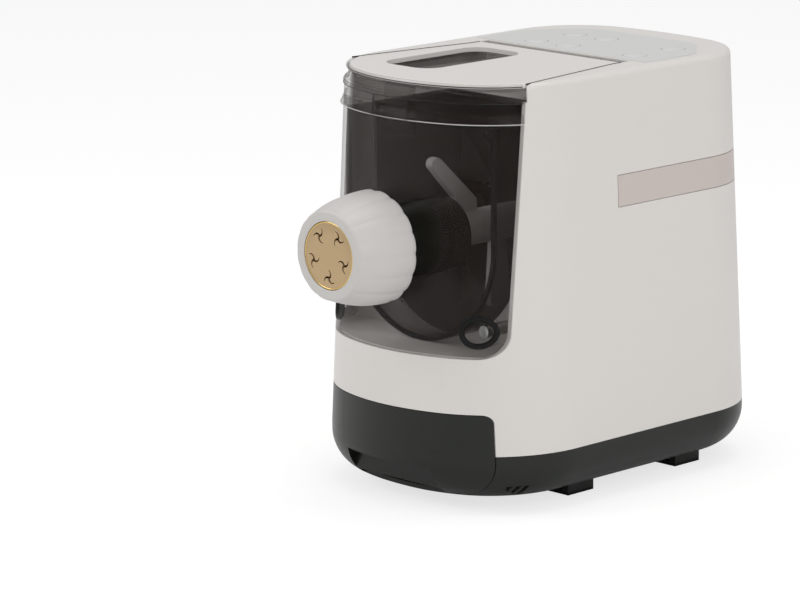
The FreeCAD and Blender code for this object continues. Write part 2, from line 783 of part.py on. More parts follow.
# Smoke front cover with its two pin windows
cover_area = cover_zone("cover_area", "cover_low", "cover_high", "seam_gap")
cover_skin = common("cover_skin", cut("cover_ring", outer, cover_hollow), cover_area)
tubes = []
windows = []
for name, side in (("left", -1), ("right", 1)):
    place = (f"{side} * pin_x", AHEAD, "pin_height")
    reach = "body_front + 60 - window_floor"
    tubes.append(rod(f"window_tube_{name}", "Y", place, "window_radius + window_wall", reach))
    windows.append(rod(f"window_{name}", "Y", place, "window_radius", f"{reach} - window_wall"))
    windows.append(rod(f"window_pin_{name}", "Y", place, "pin_radius + contact_gap", reach))
cover_blank = fuse("cover_blank", cover_skin, common(
    "window_tubes", fuse("tube_pair", *tubes), outer, cover_area))
barrel_hole = rod("barrel_hole", "Y", ("0", AHEAD, "nozzle_height"), "barrel_radius", "body_front")
piece("front_cover", cut("cover", cover_blank, barrel_hole, *windows))

# Smoke plate that closes the drum's front, and its seal
plate_rear = "drum_front + contact_gap"


def drum_shape(name, radius, top, ahead, thick):
    """The drum's U outline as a slab."""
    disc = rod(f"{name}_disc", "Y", ("0", f"-({ahead})", "nozzle_height"), radius, thick)
    below = box(f"{name}_below", (f"-({radius})", f"-({ahead})", "0"),
                (radius, f"-({ahead}) + {thick}", "nozzle_height"))
    lower = common(f"{name}_lower", disc, below)
    upper = box(f"{name}_upper", (f"-({radius})", f"-({ahead})", "nozzle_height"),
                (radius, f"-({ahead}) + {thick}", top))
    return fuse(name, lower, upper)


seal_edge = "(drum_radius - contact_gap)"
door_edge = "(drum_radius - contact_gap - seal_width)"
plate_slab = drum_shape("plate_slab", door_edge, "drum_top", f"{plate_rear} + plate_thick",
                        "plate_thick")
plate_bore = rod("plate_bore", "Y", ("0", f"-({plate_rear} + plate_thick)", "nozzle_height"),
                 "barrel_radius", "plate_thick")
piece("drum_door", cut("door_plate", common("door_blank", plate_slab, cover_lining), plate_bore))
seal_slab = drum_shape("seal_slab", seal_edge, "drum_top", f"{plate_rear} + plate_thick",
                       "plate_thick")
seal_room = drum_shape("seal_room", door_edge, "drum_top + 1", f"{plate_rear} + plate_thick",
                       "plate_thick")
piece("door_seal", cut("seal_ring", common("seal_blank", seal_slab, cover_lining), seal_room))

# Black extrusion barrel, brass die and scalloped ring nut
barrel_front = "nut_front - nut_lip - contact_gap - die_flange"
barrel_tube = cut("barrel_tube", rod("barrel_outside", "Y", ("0", f"-({barrel_front})", "nozzle_height"),
                                     "barrel_radius", f"{barrel_front} - barrel_rear"),
                  rod("barrel_inside", "Y", ("0", f"-({barrel_front}) - 1", "nozzle_height"),
                      "barrel_bore", f"{barrel_front} - barrel_rear + 2"))
piece("extrusion_barrel", barrel_tube)

die_rear = f"-({barrel_front})"
die_disc = fuse("die_disc", rod("die_body", "Y", ("0", f"{die_rear} - die_flange", "nozzle_height"),
                                "die_radius", "die_flange"),
                rod("die_face", "Y", ("0", f"{die_rear} - die_flange - die_face_step", "nozzle_height"),
                    "nut_mouth - contact_gap", "die_face_step + 1"))


def swirl_slots():
    """Five three-armed slots on a circle, cut right through the die."""
    rear = number(die_rear) + 1
    deep = value("die_flange") + value("die_face_step") + 2
    arms = []
    for star in range(5):
        around = 2 * HALF_TURN * star / 5 - QUARTER_TURN
        centre = Vector(value("slot_circle") * math.cos(around), rear,
                        value("nozzle_height") + value("slot_circle") * math.sin(around))
        for arm in range(3):
            slot = Part.makeBox(value("slot_arm"), value("slot_width"), deep,
                                Vector(0, -value("slot_width") / 2, 0))
            slot.rotate(Vector(), Vector(0, 0, 1), 120 * arm + math.degrees(around))
            slot.rotate(Vector(), Vector(1, 0, 0), 90)
            slot.translate(centre)
            arms.append(slot)
    return arms[0].multiFuse(arms[1:])


piece("shaping_die", cut("die", die_disc, shaped("die_slots", swirl_slots())))

DOME_POWER = 2.3
NUT_STATIONS = 8


def petal_wire(radius, ahead):
    """A ring of shallow convex petals about the nozzle axis."""
    count = int(value("lobe_count"))
    middle = value("nozzle_height")
    arcs = []

    def point(turn, reach):
        return Vector(reach * math.cos(turn), -ahead, middle + reach * math.sin(turn))

    for index in range(count):
        first = 2 * HALF_TURN * index / count
        half = HALF_TURN / count
        low = radius - value("lobe_depth")
        arcs.append(Part.Arc(point(first, low), point(first + half, radius),
                             point(first + 2 * half, low)).toShape())
    return Part.Wire(arcs)


def nut_dome():
    """The nut's outside: petals that grow along a bell-shaped profile from front to rear."""
    front = value("nut_front")
    length = value("nut_length")
    soft = value("nut_round")
    wide = value("nut_rear_radius")
    narrow = value("nut_front_radius")
    wires = [petal_wire(narrow - soft, front)]
    for index in range(NUT_STATIONS):
        share = index / (NUT_STATIONS - 1)
        behind = soft + (length - 2 * soft) * share
        radius = wide - (wide - narrow) * (1 - behind / length) ** DOME_POWER
        wires.append(petal_wire(radius, front - behind))
    wires.append(petal_wire(wide - soft, front - length))
    return Part.makeLoft(wires, True, False)


nut_blank = shaped("nut_blank", nut_dome())
nut_room = turned("nut_room", [
    ("0", "nut_front + 1"), ("nut_mouth", "nut_front + 1"), ("nut_mouth", "nut_front - nut_lip"),
    ("barrel_radius + contact_gap", "nut_front - nut_lip"),
    ("barrel_radius + contact_gap", "nut_rear + nut_skirt + 2"),
    ("nut_rear_radius - nut_wall", "nut_rear + nut_skirt"),
    ("nut_rear_radius - nut_wall", "nut_rear - 1"), ("0", "nut_rear - 1")])
piece("ring_nut", cut("nut", nut_blank, nut_room))

# Lid: smoke tray with a skirt in front, white top panel with the filling opening, latch
lid_area = fuse("lid_area", lid_plan("lid_slab", "lid_under", "top_height + 5", "seam_gap"),
                cover_zone("lid_skirt_area", "cover_high + seam_gap", "top_height", "seam_gap"))
lid_outer = drafted_form("lid_outer", "0", None, "lid_ledge")
lid_upper = drafted_form("lid_upper", "lid_inset", None, "lid_top")
lid_panel_form = drafted_form("lid_panel_form", "lid_inset", None, "top_height", "lid_inset")
lid_room_form = drafted_form("lid_room_form", "lid_inset + lid_skin", None, "lid_top - lid_skin")
lid_low = box("lid_low", (f"-({FAR})", AHEAD, "cover_high + seam_gap"), (FAR, BEHIND, "lid_top"))
lid_solid = common("lid_solid", fuse("lid_stack", lid_outer, lid_upper), lid_area, lid_low)
lid_room_area = fuse("lid_room_area",
                     lid_plan("lid_room_plan", "lid_under - 1", "lid_top - lid_skin",
                              "seam_gap + lid_skin"),
                     cover_zone("lid_room_skirt", "cover_high", "lid_top - lid_skin",
                                "seam_gap + lid_skin"))
lid_room = common("lid_room", lid_room_form, lid_room_area)


def filling_opening(name, low, high, grow):
    points = [(f"fill_left - ({grow})", f"fill_front - ({grow})"),
              (f"fill_right + ({grow})", f"fill_front - ({grow})"),
              (f"fill_right + ({grow})", f"fill_rear + ({grow})"),
              (f"fill_left - ({grow})", f"fill_rear + ({grow})")]
    return prism(name, "XY", points, low, high,
                 [(corner, f"fill_corner + ({grow})") for corner in range(4)])


fill_cup = filling_opening("fill_cup", "fill_floor - lid_skin", "lid_top - lid_skin", "lid_skin")
fill_hole = filling_opening("fill_hole", "fill_floor", "top_height + 5", "0")
slits = [box(f"slit_{index + 1}", (
    "fill_left + fill_corner / 2", f"fill_front + (fill_rear - fill_front) * ({index} + 1) / 6",
    "fill_floor - lid_skin - 1"), (
    "fill_right - fill_corner / 2",
    f"fill_front + (fill_rear - fill_front) * ({index} + 1) / 6 + slit_width",
    "fill_floor + 1")) for index in range(5)]
lid_barrel = rod("lid_barrel", "X", ("-lid_half_rear + seam_gap + contact_gap", "hinge_y",
                                     "top_height - hinge_drop"), "hinge_radius",
                 "2 * (lid_half_rear - seam_gap - contact_gap)")
lid_rear_cut = box("lid_rear_cut", (f"-({FAR})", "hinge_y", "0"), (FAR, BEHIND, "top_height + 5"))
pin_room = "hinge_pin_length / 2 + 1"
lid_pin_left = rod("lid_pin_left", "X", (
    "-lid_half_rear - wall", "hinge_y", "top_height - hinge_drop"),
    "hinge_pin + running_gap", f"{pin_room} + wall")
lid_pin_right = rod("lid_pin_right", "X", (
    f"lid_half_rear - ({pin_room})", "hinge_y", "top_height - hinge_drop"),
    "hinge_pin + running_gap", f"{pin_room} + wall")
lid_hollowed = fuse("lid_hollowed", cut("lid_tray", lid_solid, lid_room, lid_rear_cut), fill_cup)
panel_notch = box("panel_notch", (f"-({FAR})", "hinge_y - hinge_radius - seam_gap", "lid_top"),
                  (FAR, BEHIND, "top_height + 5"))
lid_shell = piece("lid_shell", cut(
    "lid", fuse("lid_joined", lid_hollowed, lid_barrel), fill_hole, lid_pin_left, lid_pin_right,
    *slits))
panel_band = box("panel_band", (f"-({FAR})", AHEAD, "lid_top"), (FAR, BEHIND, "top_height"))
panel_plan = lid_plan("panel_plan", "lid_top - 1", "top_height + 5", "seam_gap")
piece("lid_panel", cut("lid_cover", common("lid_cover_blank", lid_panel_form, panel_plan, panel_band),
                       fill_hole, panel_notch, lid_barrel))
latch_front = ("body_front - lid_inset - lid_skin - contact_gap - latch_half^2 / (2 * front_arc)"
               " - (lid_top - seam_height) * tan(draft * 1 deg)")
piece("lid_latch", box("latch", ("-latch_half", f"-({latch_front})", "latch_low"),
                       ("latch_half", f"-({latch_front}) + latch_thick", "lid_top - lid_skin")))
piece("hinge_pins", group("hinge_pin_pair", *[rod(f"hinge_pin_{name}", "X", (
    start, "hinge_y", "top_height - hinge_drop"), "hinge_pin", "hinge_pin_length")
    for name, start in (("left", "-lid_half_rear - hinge_pin_length / 2"),
                        ("right", "lid_half_rear - hinge_pin_length / 2"))]))

# Control panel, six keys, and the board that they press
panel_slab = prism("panel_slab", "XY", panel_points, "top_height - panel_thick",
                   "top_height + panel_proud", panel_rounds)
piece("control_panel", cut("overlay", panel_slab, key_shafts))
key_top = "top_height + key_proud"
key_under = "top_height - wall - contact_gap - key_flange"
for index, (x, y) in enumerate(key_places, 1):
    cap = rod(f"key_cap_{index}", "Z", (x, y, key_under), "key_radius", f"{key_top} - ({key_under})")
    rim = rod(f"key_rim_{index}", "Z", (x, y, key_under), "key_radius + key_rim", "key_flange")
    piece(f"panel_key_{index}", fuse(f"key_{index}", cap, rim))
board_top = "top_height - wall - board_drop"
board_blank = box("board_blank", (
    "-panel_half + board_inset", "panel_front + board_gap", f"{board_top} - board_thick"), (
    "panel_half - board_inset", "panel_side_y + board_reach", board_top))
piece("control_board", board_blank)
board_corners = [(x, y) for x in ("-panel_half + board_inset + post_radius",
                                  "panel_half - board_inset - post_radius")
                 for y in ("panel_front + board_gap + post_radius",
                           "panel_side_y + board_reach - post_radius")]
posts = [rod(f"board_post_{index}", "Z", (x, y, board_top), "post_radius - 1", "board_drop")
         for index, (x, y) in enumerate(board_corners, 1)]
piece("board_posts", group("board_post_group", *posts))
switch_top = f"{key_under} - key_stroke - contact_gap"
switches = []
for index, (x, y) in enumerate(key_places, 1):
    case = box(f"switch_case_{index}", (f"{x} - switch_half", f"{y} - switch_half", board_top),
               (f"{x} + switch_half", f"{y} + switch_half", f"{switch_top} - switch_tip"))
    tip = rod(f"switch_tip_{index}", "Z", (x, y, board_top), "switch_tip",
              f"{switch_top} - ({board_top})")
    switches.append(fuse(f"switch_{index}", case, tip))
piece("key_switches", group("switch_group", *switches))

# Pinkish grey band that runs round the back
band_seat = box("band_seat", (f"-({FAR})", "band_start + seam_gap", "band_low + seam_gap"),
                (FAR, BEHIND, "band_high - seam_gap"))
piece("side_band", common("band_strip", cut("band_ring", outer, band_floor), band_seat))

# Gearbox plates with their posts, bushes and axles
front_plate_y = "drum_rear"
gears_y = "drum_rear + wall"
rear_plate_y = "drum_rear + wall + gearbox_depth"
idler_height = "nozzle_height - slow_module * (pinion_teeth + output_teeth) / 2"
motor_height = f"({idler_height}) - fast_module * (pinion_teeth + idler_teeth) / 2"


def gearbox_plate(name, start):
    """One upright steel plate that stands on the base and carries the axles."""
    slab = box(f"{name}_slab", ("-plate_half", start, "base_bottom + wall"),
               ("plate_half", f"{start} + wall", "gearbox_top"))
    return slab


def bore(name, height, radius, start, length):
    return rod(name, "Y", ("0", start, height), radius, length)


front_holes = [
    bore("front_output_hole", "nozzle_height", "bush_radius", front_plate_y, "wall"),
    bore("front_idler_hole", idler_height, "thin_shaft", front_plate_y, "wall"),
    bore("front_motor_hole", motor_height, "bush_radius / 2 + 1", front_plate_y, "wall"),
]
rear_holes = [
    bore("rear_output_hole", "nozzle_height", "bush_radius", rear_plate_y, "wall"),
    bore("rear_idler_hole", idler_height, "thin_shaft", rear_plate_y, "wall"),
    bore("rear_motor_hole", motor_height, "bush_radius / 2 + 1", rear_plate_y, "wall"),
]
piece("gearbox_front_plate", cut("front_plate", gearbox_plate("front_plate", front_plate_y),
                                 *front_holes))
piece("gearbox_rear_plate", cut("rear_plate", gearbox_plate("rear_plate", rear_plate_y), *rear_holes))
post_places = [(x, z) for x in ("-plate_half + post_inset", "plate_half - post_inset")
               for z in ("gearbox_top - post_inset", "base_bottom + wall + 2 * post_inset")]
piece("gearbox_posts", group("gearbox_post_group", *[
    rod(f"gearbox_post_{index}", "Y", (x, gears_y, z), "post_radius", "gearbox_depth")
    for index, (x, z) in enumerate(post_places, 1)]))
piece("gearbox_screws", group("gearbox_screw_group", *[
    rod(f"gearbox_screw_{index}", "Y", (x, f"{rear_plate_y} + wall", z), "post_radius - 1", "screw_height")
    for index, (x, z) in enumerate(post_places, 1)]))
shaft_hole = "shaft_radius + running_gap"
front_bush = cut("front_bush", bore("front_bush_ring", "nozzle_height", "bush_radius",
                                    "drum_rear - drum_wall", "wall + drum_wall"),
                 bore("front_bush_hole", "nozzle_height", shaft_hole, "drum_rear - drum_wall - 1",
                      "wall + drum_wall + 2"))
rear_bush = cut("rear_bush", bore("rear_bush_ring", "nozzle_height", "bush_radius", rear_plate_y, "wall"),
                bore("rear_bush_hole", "nozzle_height", shaft_hole, f"{rear_plate_y} - 1", "wall + 2"))
piece("output_bushes", group("bush_pair", front_bush, rear_bush))
piece("idler_axle", bore("axle", idler_height, "thin_shaft", front_plate_y,
                         "gearbox_depth + 2 * wall"))

# Output shaft with its large gear, and the paddle with its auger
output_shaft = piece("output_shaft", rod(
    "shaft_bar", "Y", ("0", "-hub_front + hub_cap", "nozzle_height"), "shaft_radius",
    f"hub_front - hub_cap + {rear_plate_y} + wall"))
fast_y = number(f"{gears_y} + gear_gap")
slow_y = number(f"{gears_y} + 2 * gear_gap + fast_width + gear_gap")
piece("output_gear", gear("output_wheel", value("slow_module"), value("output_teeth"),
                          value("shaft_radius"), value("nozzle_height"), slow_y,
                          value("slow_width"), -QUARTER_TURN))
hub = cut("hub", rod("hub_outside", "Y", ("0", "-hub_front", "nozzle_height"), "hub_radius",
                     "hub_front + drum_rear - drum_wall - 1"),
          rod("hub_bore", "Y", ("0", "-hub_front + hub_cap", "nozzle_height"), "shaft_radius",
              "hub_front + drum_rear"))
arm_top = "nozzle_height + drum_radius - arm_clearance"
arm_knee = "nozzle_height + hub_radius + 2 * arm_round"
in_hub = "(hub_radius - arm_round)"
long_arm = prism("long_arm", "YZ", [
    ("arm_root - hub_front", f"nozzle_height + {in_hub}"),
    ("arm_root + arm_width - hub_front", f"nozzle_height + {in_hub}"),
    ("arm_root + arm_width - hub_front", arm_knee),
    ("arm_tip - hub_front - arm_reach", arm_top),
    ("-hub_front - arm_reach", f"{arm_top} - arm_half"),
    ("arm_root - arm_round - hub_front", f"{arm_knee} + arm_half")], "-arm_half", "arm_half",
    ((3, "arm_round"), (4, "arm_round")))
short_arm = prism("short_arm", "YZ", [
    ("drum_rear - 2 * arm_width - arm_round", "nozzle_height - drum_radius + short_arm_clearance"),
    ("drum_rear - arm_width", "nozzle_height - drum_radius + short_arm_clearance"),
    ("drum_rear - arm_width - arm_round", f"nozzle_height - {in_hub}"),
    ("drum_rear - 2 * arm_width", f"nozzle_height - {in_hub}")],
    "-arm_half", "arm_half", ((0, "arm_round"), (1, "arm_round")))
auger_bar = rod("auger_bar", "Y", ("0", "-auger_front", "nozzle_height"), "auger_core",
                "auger_front - hub_front")


def flight():
    """The auger's screw flight: a rectangle swept along a helix about the nozzle axis."""
    start = value("auger_core") - 1
    end = value("barrel_bore") - value("auger_clearance")
    length = value("auger_front") - value("hub_front") - value("flight_thick") - 2 * value("auger_clearance")
    helix = Part.makeHelix(value("auger_pitch"), length, (start + end) / 2)
    half = value("flight_thick") / 2
    corners = [Vector(start, 0, -half), Vector(end, 0, -half), Vector(end, 0, half),
               Vector(start, 0, half)]
    section = Part.makePolygon(corners + corners[:1])
    screw = Part.Wire(helix.Edges).makePipeShell([section], True, True)
    screw.rotate(Vector(), Vector(1, 0, 0), 90)
    screw.translate(Vector(0, -value("hub_front") - half - 1, value("nozzle_height")))
    return screw


piece("mixing_paddle", fuse("paddle", hub, long_arm, short_arm, auger_bar,
                            shaped("auger_flight", flight())))

# Idler pair on its axle
idler_z = number(idler_height)
motor_z = number(motor_height)
idler_bore = value("thin_shaft") + value("running_gap")
idler_wheel = gear("idler_wheel_blank", value("fast_module"), value("idler_teeth"), idler_bore,
                   idler_z, fast_y, value("fast_width"), -QUARTER_TURN)
piece("idler_wheel", idler_wheel)
idler_pinion = gear("idler_pinion_blank", value("slow_module"), value("pinion_teeth"), idler_bore,
                    idler_z, slow_y, value("slow_width"),
                    QUARTER_TURN + HALF_TURN / value("pinion_teeth"))
sleeve = cut("idler_sleeve", bore("sleeve_outside", idler_height, "thin_shaft + 4",
                                  f"{gears_y} + gear_gap + fast_width", "2 * gear_gap"),
             bore("sleeve_inside", idler_height, "thin_shaft + running_gap",
                  f"{gears_y} + gear_gap + fast_width - 1", "2 * gear_gap + 2"))
piece("idler_pinion", fuse("idler_pinion_joined", idler_pinion, sleeve))

# Motor: can, rotor on its shaft, pinion and fan
motor_front = f"{rear_plate_y} + wall"
can_outside = bore("can_outside", motor_height, "motor_radius", motor_front, "motor_length")
can_inside = bore("can_inside", motor_height, "motor_radius - wall", f"{motor_front} + wall",
                  "motor_length - 2 * wall")
can_hole = bore("can_hole", motor_height, "thin_shaft + running_gap", f"{motor_front} - 1",
                "motor_length + 2")
piece("motor_can", cut("can", can_outside, can_inside, can_hole))
piece("motor_shaft", bore("rotor_shaft", motor_height, "thin_shaft", f"{gears_y} + 1",
                          "gearbox_depth - 1 + wall + motor_length + 2 + fan_width"))
piece("motor_rotor", cut("rotor", bore("rotor_outside", motor_height, "rotor_radius",
                                       f"{motor_front} + 3 * wall", "motor_length - 6 * wall"),
                         bore("rotor_bore", motor_height, "thin_shaft", motor_front,
                              "motor_length")))
piece("motor_pinion", gear("pinion_wheel", value("fast_module"), value("pinion_teeth"),
                           value("thin_shaft"), motor_z, fast_y, value("fast_width"),
                           QUARTER_TURN + HALF_TURN / value("pinion_teeth")))


def fan():
    """A hub with flat blades between its rim and the shaft."""
    start = number(f"{motor_front} + motor_length + 2")
    axis = Vector(0, 1, 0)
    centre = Vector(0, start, motor_z)
    wide = value("fan_width")
    shape = Part.makeCylinder(value("thin_shaft") + 4, wide, centre, axis)
    blades = []
    for index in range(int(value("fan_blades"))):
        blade = Part.makeBox(value("fan_blade"), wide, value("fan_radius"),
                             Vector(-value("fan_blade") / 2, 0, 0))
        blade.rotate(Vector(), axis, 360 / int(value("fan_blades")) * index)
        blade.translate(centre)
        blades.append(blade)
    shape = shape.multiFuse(blades)
    limit = Part.makeCylinder(value("fan_radius"), wide, centre, axis)
    return shape.common(limit).cut(Part.makeCylinder(value("thin_shaft"), wide, centre, axis))


piece("cooling_fan", shaped("fan", fan()))

# Mains board on its posts, and the cord gland in the back wall
mains_low = "base_bottom + wall"
mains_rear = "body_rear - mains_inset"
mains_front = f"{mains_rear} - mains_length"
mains_corners = [(x, y) for x in ("-mains_half + mains_post", "mains_half - mains_post")
                 for y in (f"{mains_front} + mains_post", f"{mains_rear} - mains_post")]
piece("mains_posts", group("mains_post_group", *[
    rod(f"mains_post_{index}", "Z", (x, y, mains_low), "post_radius - 1", "mains_post")
    for index, (x, y) in enumerate(mains_corners, 1)]))
mains_top = f"{mains_low} + mains_post + board_thick"
piece("mains_board", box("mains", ("-mains_half", mains_front, f"{mains_low} + mains_post"),
                         ("mains_half", mains_rear, mains_top)))
choke_side = "mains_length / 4"
piece("board_parts", group(
    "mains_parts",
    box("choke", ("-mains_half + board_gap", f"{mains_front} + post_radius + mains_post * 2", mains_top),
        (f"-mains_half + board_gap + {choke_side}",
         f"{mains_front} + post_radius + mains_post * 2 + {choke_side}", f"{mains_top} + {choke_side}")),
    rod("capacitor", "Z", ("mains_half - board_gap - mains_post", f"{mains_front} + mains_length / 3",
                           mains_top), "mains_post + post_radius / 2", choke_side),
    box("relay", (f"mains_half - board_gap - {choke_side}",
                  f"{mains_front} + mains_length / 2 + board_gap", mains_top),
        ("mains_half - board_gap", f"{mains_front} + mains_length / 2 + board_gap + {choke_side}",
         f"{mains_top} + 3 * board_gap"))))
gland_body = rod("gland_body", "Y", ("gland_x", "gland_inner", "gland_height"), "gland_radius",
                 "gland_rear - gland_inner")
gland_bore = rod("gland_through", "Y", ("gland_x", "gland_inner - 1", "gland_height"), "gland_bore",
                 "gland_rear - gland_inner + 2")
piece("cord_gland", cut("gland", gland_body, gland_bore))

doc.recompute()

# Every object has to be sound before anything is written
for thing in doc.Objects:
    if "Invalid" in thing.State or "Error" in thing.State:
        raise RuntimeError(f"{thing.Name} failed: {thing.State}")
for node in nodes:
    if node.Shape.isNull() or not node.Shape.isValid():
        raise RuntimeError(f"{node.Label} has no valid shape")

os.makedirs("parts", exist_ok=True)
for node in nodes:
    node.Shape.exportStep(f"parts/{node.Label}.step")
    extent = node.Shape.BoundBox
    print(f"{node.Label}: {len(node.Shape.Solids)} solid(s), volume {node.Shape.Volume:.0f},"
          f" x {extent.XMin:.1f}..{extent.XMax:.1f} y {extent.YMin:.1f}..{extent.YMax:.1f}"
          f" z {extent.ZMin:.1f}..{extent.ZMax:.1f}")
print(len(nodes), "sub-parts")
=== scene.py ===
# %% [markdown]
# # Electric pasta maker
# The solids of the machine arrive finished from the frame, at their real size. This lesson
# dresses them: a camera, soft light, one short function for each kind of finish, and finer
# pieces where moulded detail is too small for the frame. Seen from the front, x points right,
# y to the back and z up, and lengths are in metres.

# %% Load the frame
import json
import math

import bmesh
import bpy
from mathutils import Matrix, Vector


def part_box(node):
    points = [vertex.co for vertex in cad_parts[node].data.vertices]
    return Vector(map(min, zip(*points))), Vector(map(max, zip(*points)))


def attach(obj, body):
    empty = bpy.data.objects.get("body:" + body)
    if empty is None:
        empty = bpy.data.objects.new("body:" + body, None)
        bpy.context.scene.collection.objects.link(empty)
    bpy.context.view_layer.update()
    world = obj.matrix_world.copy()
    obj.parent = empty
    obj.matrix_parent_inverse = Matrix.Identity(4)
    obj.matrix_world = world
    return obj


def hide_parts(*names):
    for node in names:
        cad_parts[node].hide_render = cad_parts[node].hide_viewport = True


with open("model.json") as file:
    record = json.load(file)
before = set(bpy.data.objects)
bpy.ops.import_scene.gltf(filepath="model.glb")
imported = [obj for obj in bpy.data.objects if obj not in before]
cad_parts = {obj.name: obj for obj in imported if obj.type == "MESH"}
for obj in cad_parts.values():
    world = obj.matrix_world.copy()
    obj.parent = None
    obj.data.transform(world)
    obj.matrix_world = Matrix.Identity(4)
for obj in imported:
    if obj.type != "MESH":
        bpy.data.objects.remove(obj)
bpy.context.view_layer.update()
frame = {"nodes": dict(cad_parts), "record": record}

nodes = frame["nodes"]
print("frame loaded:", len(nodes), "nodes")

# %% [markdown]
# ## Camera
# A long lens keeps the upright edges nearly parallel. The camera stands to the front right and
# looks a little down. A small shift puts the machine where the picture has it, to the right.
# The focal length is kept in pixels of the picture's width, because that is what a fit gives.

# %% Camera
PHOTO_WIDTH = 800
FOCAL_PIXELS = 4222
SENSOR = 36
AIM = Vector((0, 0.005, 0.145))
AZIMUTH = math.radians(43.88)
ELEVATION = math.radians(11.86)
DISTANCE = 2.897
SHIFT_X = -0.155
SHIFT_Y = -0.0475

lens = bpy.data.cameras.new("camera")
lens.sensor_width = SENSOR
lens.lens = FOCAL_PIXELS / PHOTO_WIDTH * SENSOR
lens.shift_x = SHIFT_X
lens.shift_y = SHIFT_Y
camera = bpy.data.objects.new("camera", lens)
bpy.context.scene.collection.objects.link(camera)
toward_camera = Vector((
    math.sin(AZIMUTH) * math.cos(ELEVATION),
    -math.cos(AZIMUTH) * math.cos(ELEVATION),
    math.sin(ELEVATION)))
camera.location = AIM + toward_camera * DISTANCE
camera.rotation_euler = toward_camera.to_track_quat("Z", "Y").to_euler()
bpy.context.scene.camera = camera
print("camera at", [round(x, 3) for x in camera.location])

# %% [markdown]
# ## Studio background
# White goods are shown on a white sweep. The surroundings light the machine evenly, at a little
# over half strength, and the camera sees plain white in their place. A light path node tells
# the two kinds of ray apart. Behind the smoke cover a ray passes many clear surfaces on its way
# to the drum and out again, so their limit is raised.

# %% Studio background
SMOKE_FACES = 32
WORLD_STRENGTH = 0.55
WHITE = (1, 1, 1, 1)

scene = bpy.context.scene
scene.view_settings.view_transform = "Standard"
scene.cycles.transparent_max_bounces = SMOKE_FACES


def white_to_camera(tree, surroundings):
    """Show plain white to the camera, and the surroundings to every other ray."""
    path = tree.nodes.new("ShaderNodeLightPath")
    white = tree.nodes.new("ShaderNodeBackground")
    white.inputs["Color"].default_value = WHITE
    mix = tree.nodes.new("ShaderNodeMixShader")
    tree.links.new(path.outputs["Is Camera Ray"], mix.inputs[0])
    tree.links.new(surroundings.outputs[0], mix.inputs[1])
    tree.links.new(white.outputs[0], mix.inputs[2])
    tree.links.new(mix.outputs[0], tree.nodes["World Output"].inputs["Surface"])


world = bpy.data.worlds.new("studio")
world.use_nodes = True
scene.world = world
sky = world.node_tree.nodes["Background"]
sky.inputs["Color"].default_value = WHITE
sky.inputs["Strength"].default_value = WORLD_STRENGTH
white_to_camera(world.node_tree, sky)
print("background strength", WORLD_STRENGTH)

# %% [markdown]
# ## Lamps
# Glossy plastic shows the shape of whatever lights it, so small lamps would leave hard spots.
# Three square soft boxes give broad highlights instead: one at the front left, a fill at the
# right and one above. Each is turned to face the point that the camera aims at.

# %% Lamps
def area_lamp(name, place, size, power):
    """A square soft box that faces the machine, with its size in metres and power in watts."""
    data = bpy.data.lights.new(name, "AREA")
    data.shape = "SQUARE"
    data.size = size
    data.energy = power
    lamp = bpy.data.objects.new(name, data)
    lamp.location = place
    lamp.rotation_euler = (Vector(place) - AIM).to_track_quat("Z", "Y").to_euler()
    scene.collection.objects.link(lamp)


area_lamp("key_left", place=(-1.1, -1.3, 1.2), size=0.9, power=9)
area_lamp("fill_right", place=(1.6, -0.5, 0.9), size=1.2, power=8)
area_lamp("top", place=(0.1, 0.2, 1.8), size=1.2, power=8)
print("lamps:", [lamp.name for lamp in bpy.data.lights])

# %% [markdown]
# ## Floor
# The sweep fades into the background and holds only a soft shadow at the machine's feet. To the
# camera the floor is mostly its own white, with a little matt surface to take the shadow. To
# every other ray it is a plain white board, so it throws light back as a real one does.

# %% Floor
FLOOR_HALF = 6
FLOOR_GLOW = 0.72
FLOOR_SHADE = 0.35
FLOOR_BOARD = 0.9
FLOOR_ROUGHNESS = 0.9


def grey(tone):
    """An even grey with full opacity."""
    return (tone, tone, tone, 1)


def make_floor_finish():
    """White that glows to the camera, and a white board to everything else."""
    finish = bpy.data.materials.new("floor_finish")
    finish.use_nodes = True
    tree = finish.node_tree
    board = tree.nodes["Principled BSDF"]
    board.inputs["Base Color"].default_value = grey(FLOOR_BOARD)
    board.inputs["Roughness"].default_value = FLOOR_ROUGHNESS
    held = tree.nodes.new("ShaderNodeBsdfDiffuse")
    held.inputs["Color"].default_value = grey(FLOOR_SHADE)
    glow = tree.nodes.new("ShaderNodeEmission")
    glow.inputs["Strength"].default_value = FLOOR_GLOW
    both = tree.nodes.new("ShaderNodeAddShader")
    tree.links.new(held.outputs[0], both.inputs[0])
    tree.links.new(glow.outputs[0], both.inputs[1])
    path = tree.nodes.new("ShaderNodeLightPath")
    mix = tree.nodes.new("ShaderNodeMixShader")
    tree.links.new(path.outputs["Is Camera Ray"], mix.inputs[0])
    tree.links.new(board.outputs[0], mix.inputs[1])
    tree.links.new(both.outputs[0], mix.inputs[2])
    tree.links.new(mix.outputs[0], tree.nodes["Material Output"].inputs["Surface"])
    return finish


floor_mesh = bpy.data.meshes.new("floor")
floor_mesh.from_pydata(
    [(-FLOOR_HALF, -FLOOR_HALF, 0), (FLOOR_HALF, -FLOOR_HALF, 0), (FLOOR_HALF, FLOOR_HALF, 0),
     (-FLOOR_HALF, FLOOR_HALF, 0)], [], [(0, 1, 2, 3)])
floor = bpy.data.objects.new("floor", floor_mesh)
scene.collection.objects.link(floor)
floor_mesh.materials.append(make_floor_finish())
print("floor:", 2 * FLOOR_HALF, "m wide")

# %% [markdown]
# ## Mould grain
# A steel mould leaves a fine grain on plastic, and patches of it are a little duller than
# others. Real grain is far too fine to model, so noise gives a height for the bump and a small
# change of roughness. It is a node group with named inputs, built once, and each finish sets
# its own values.

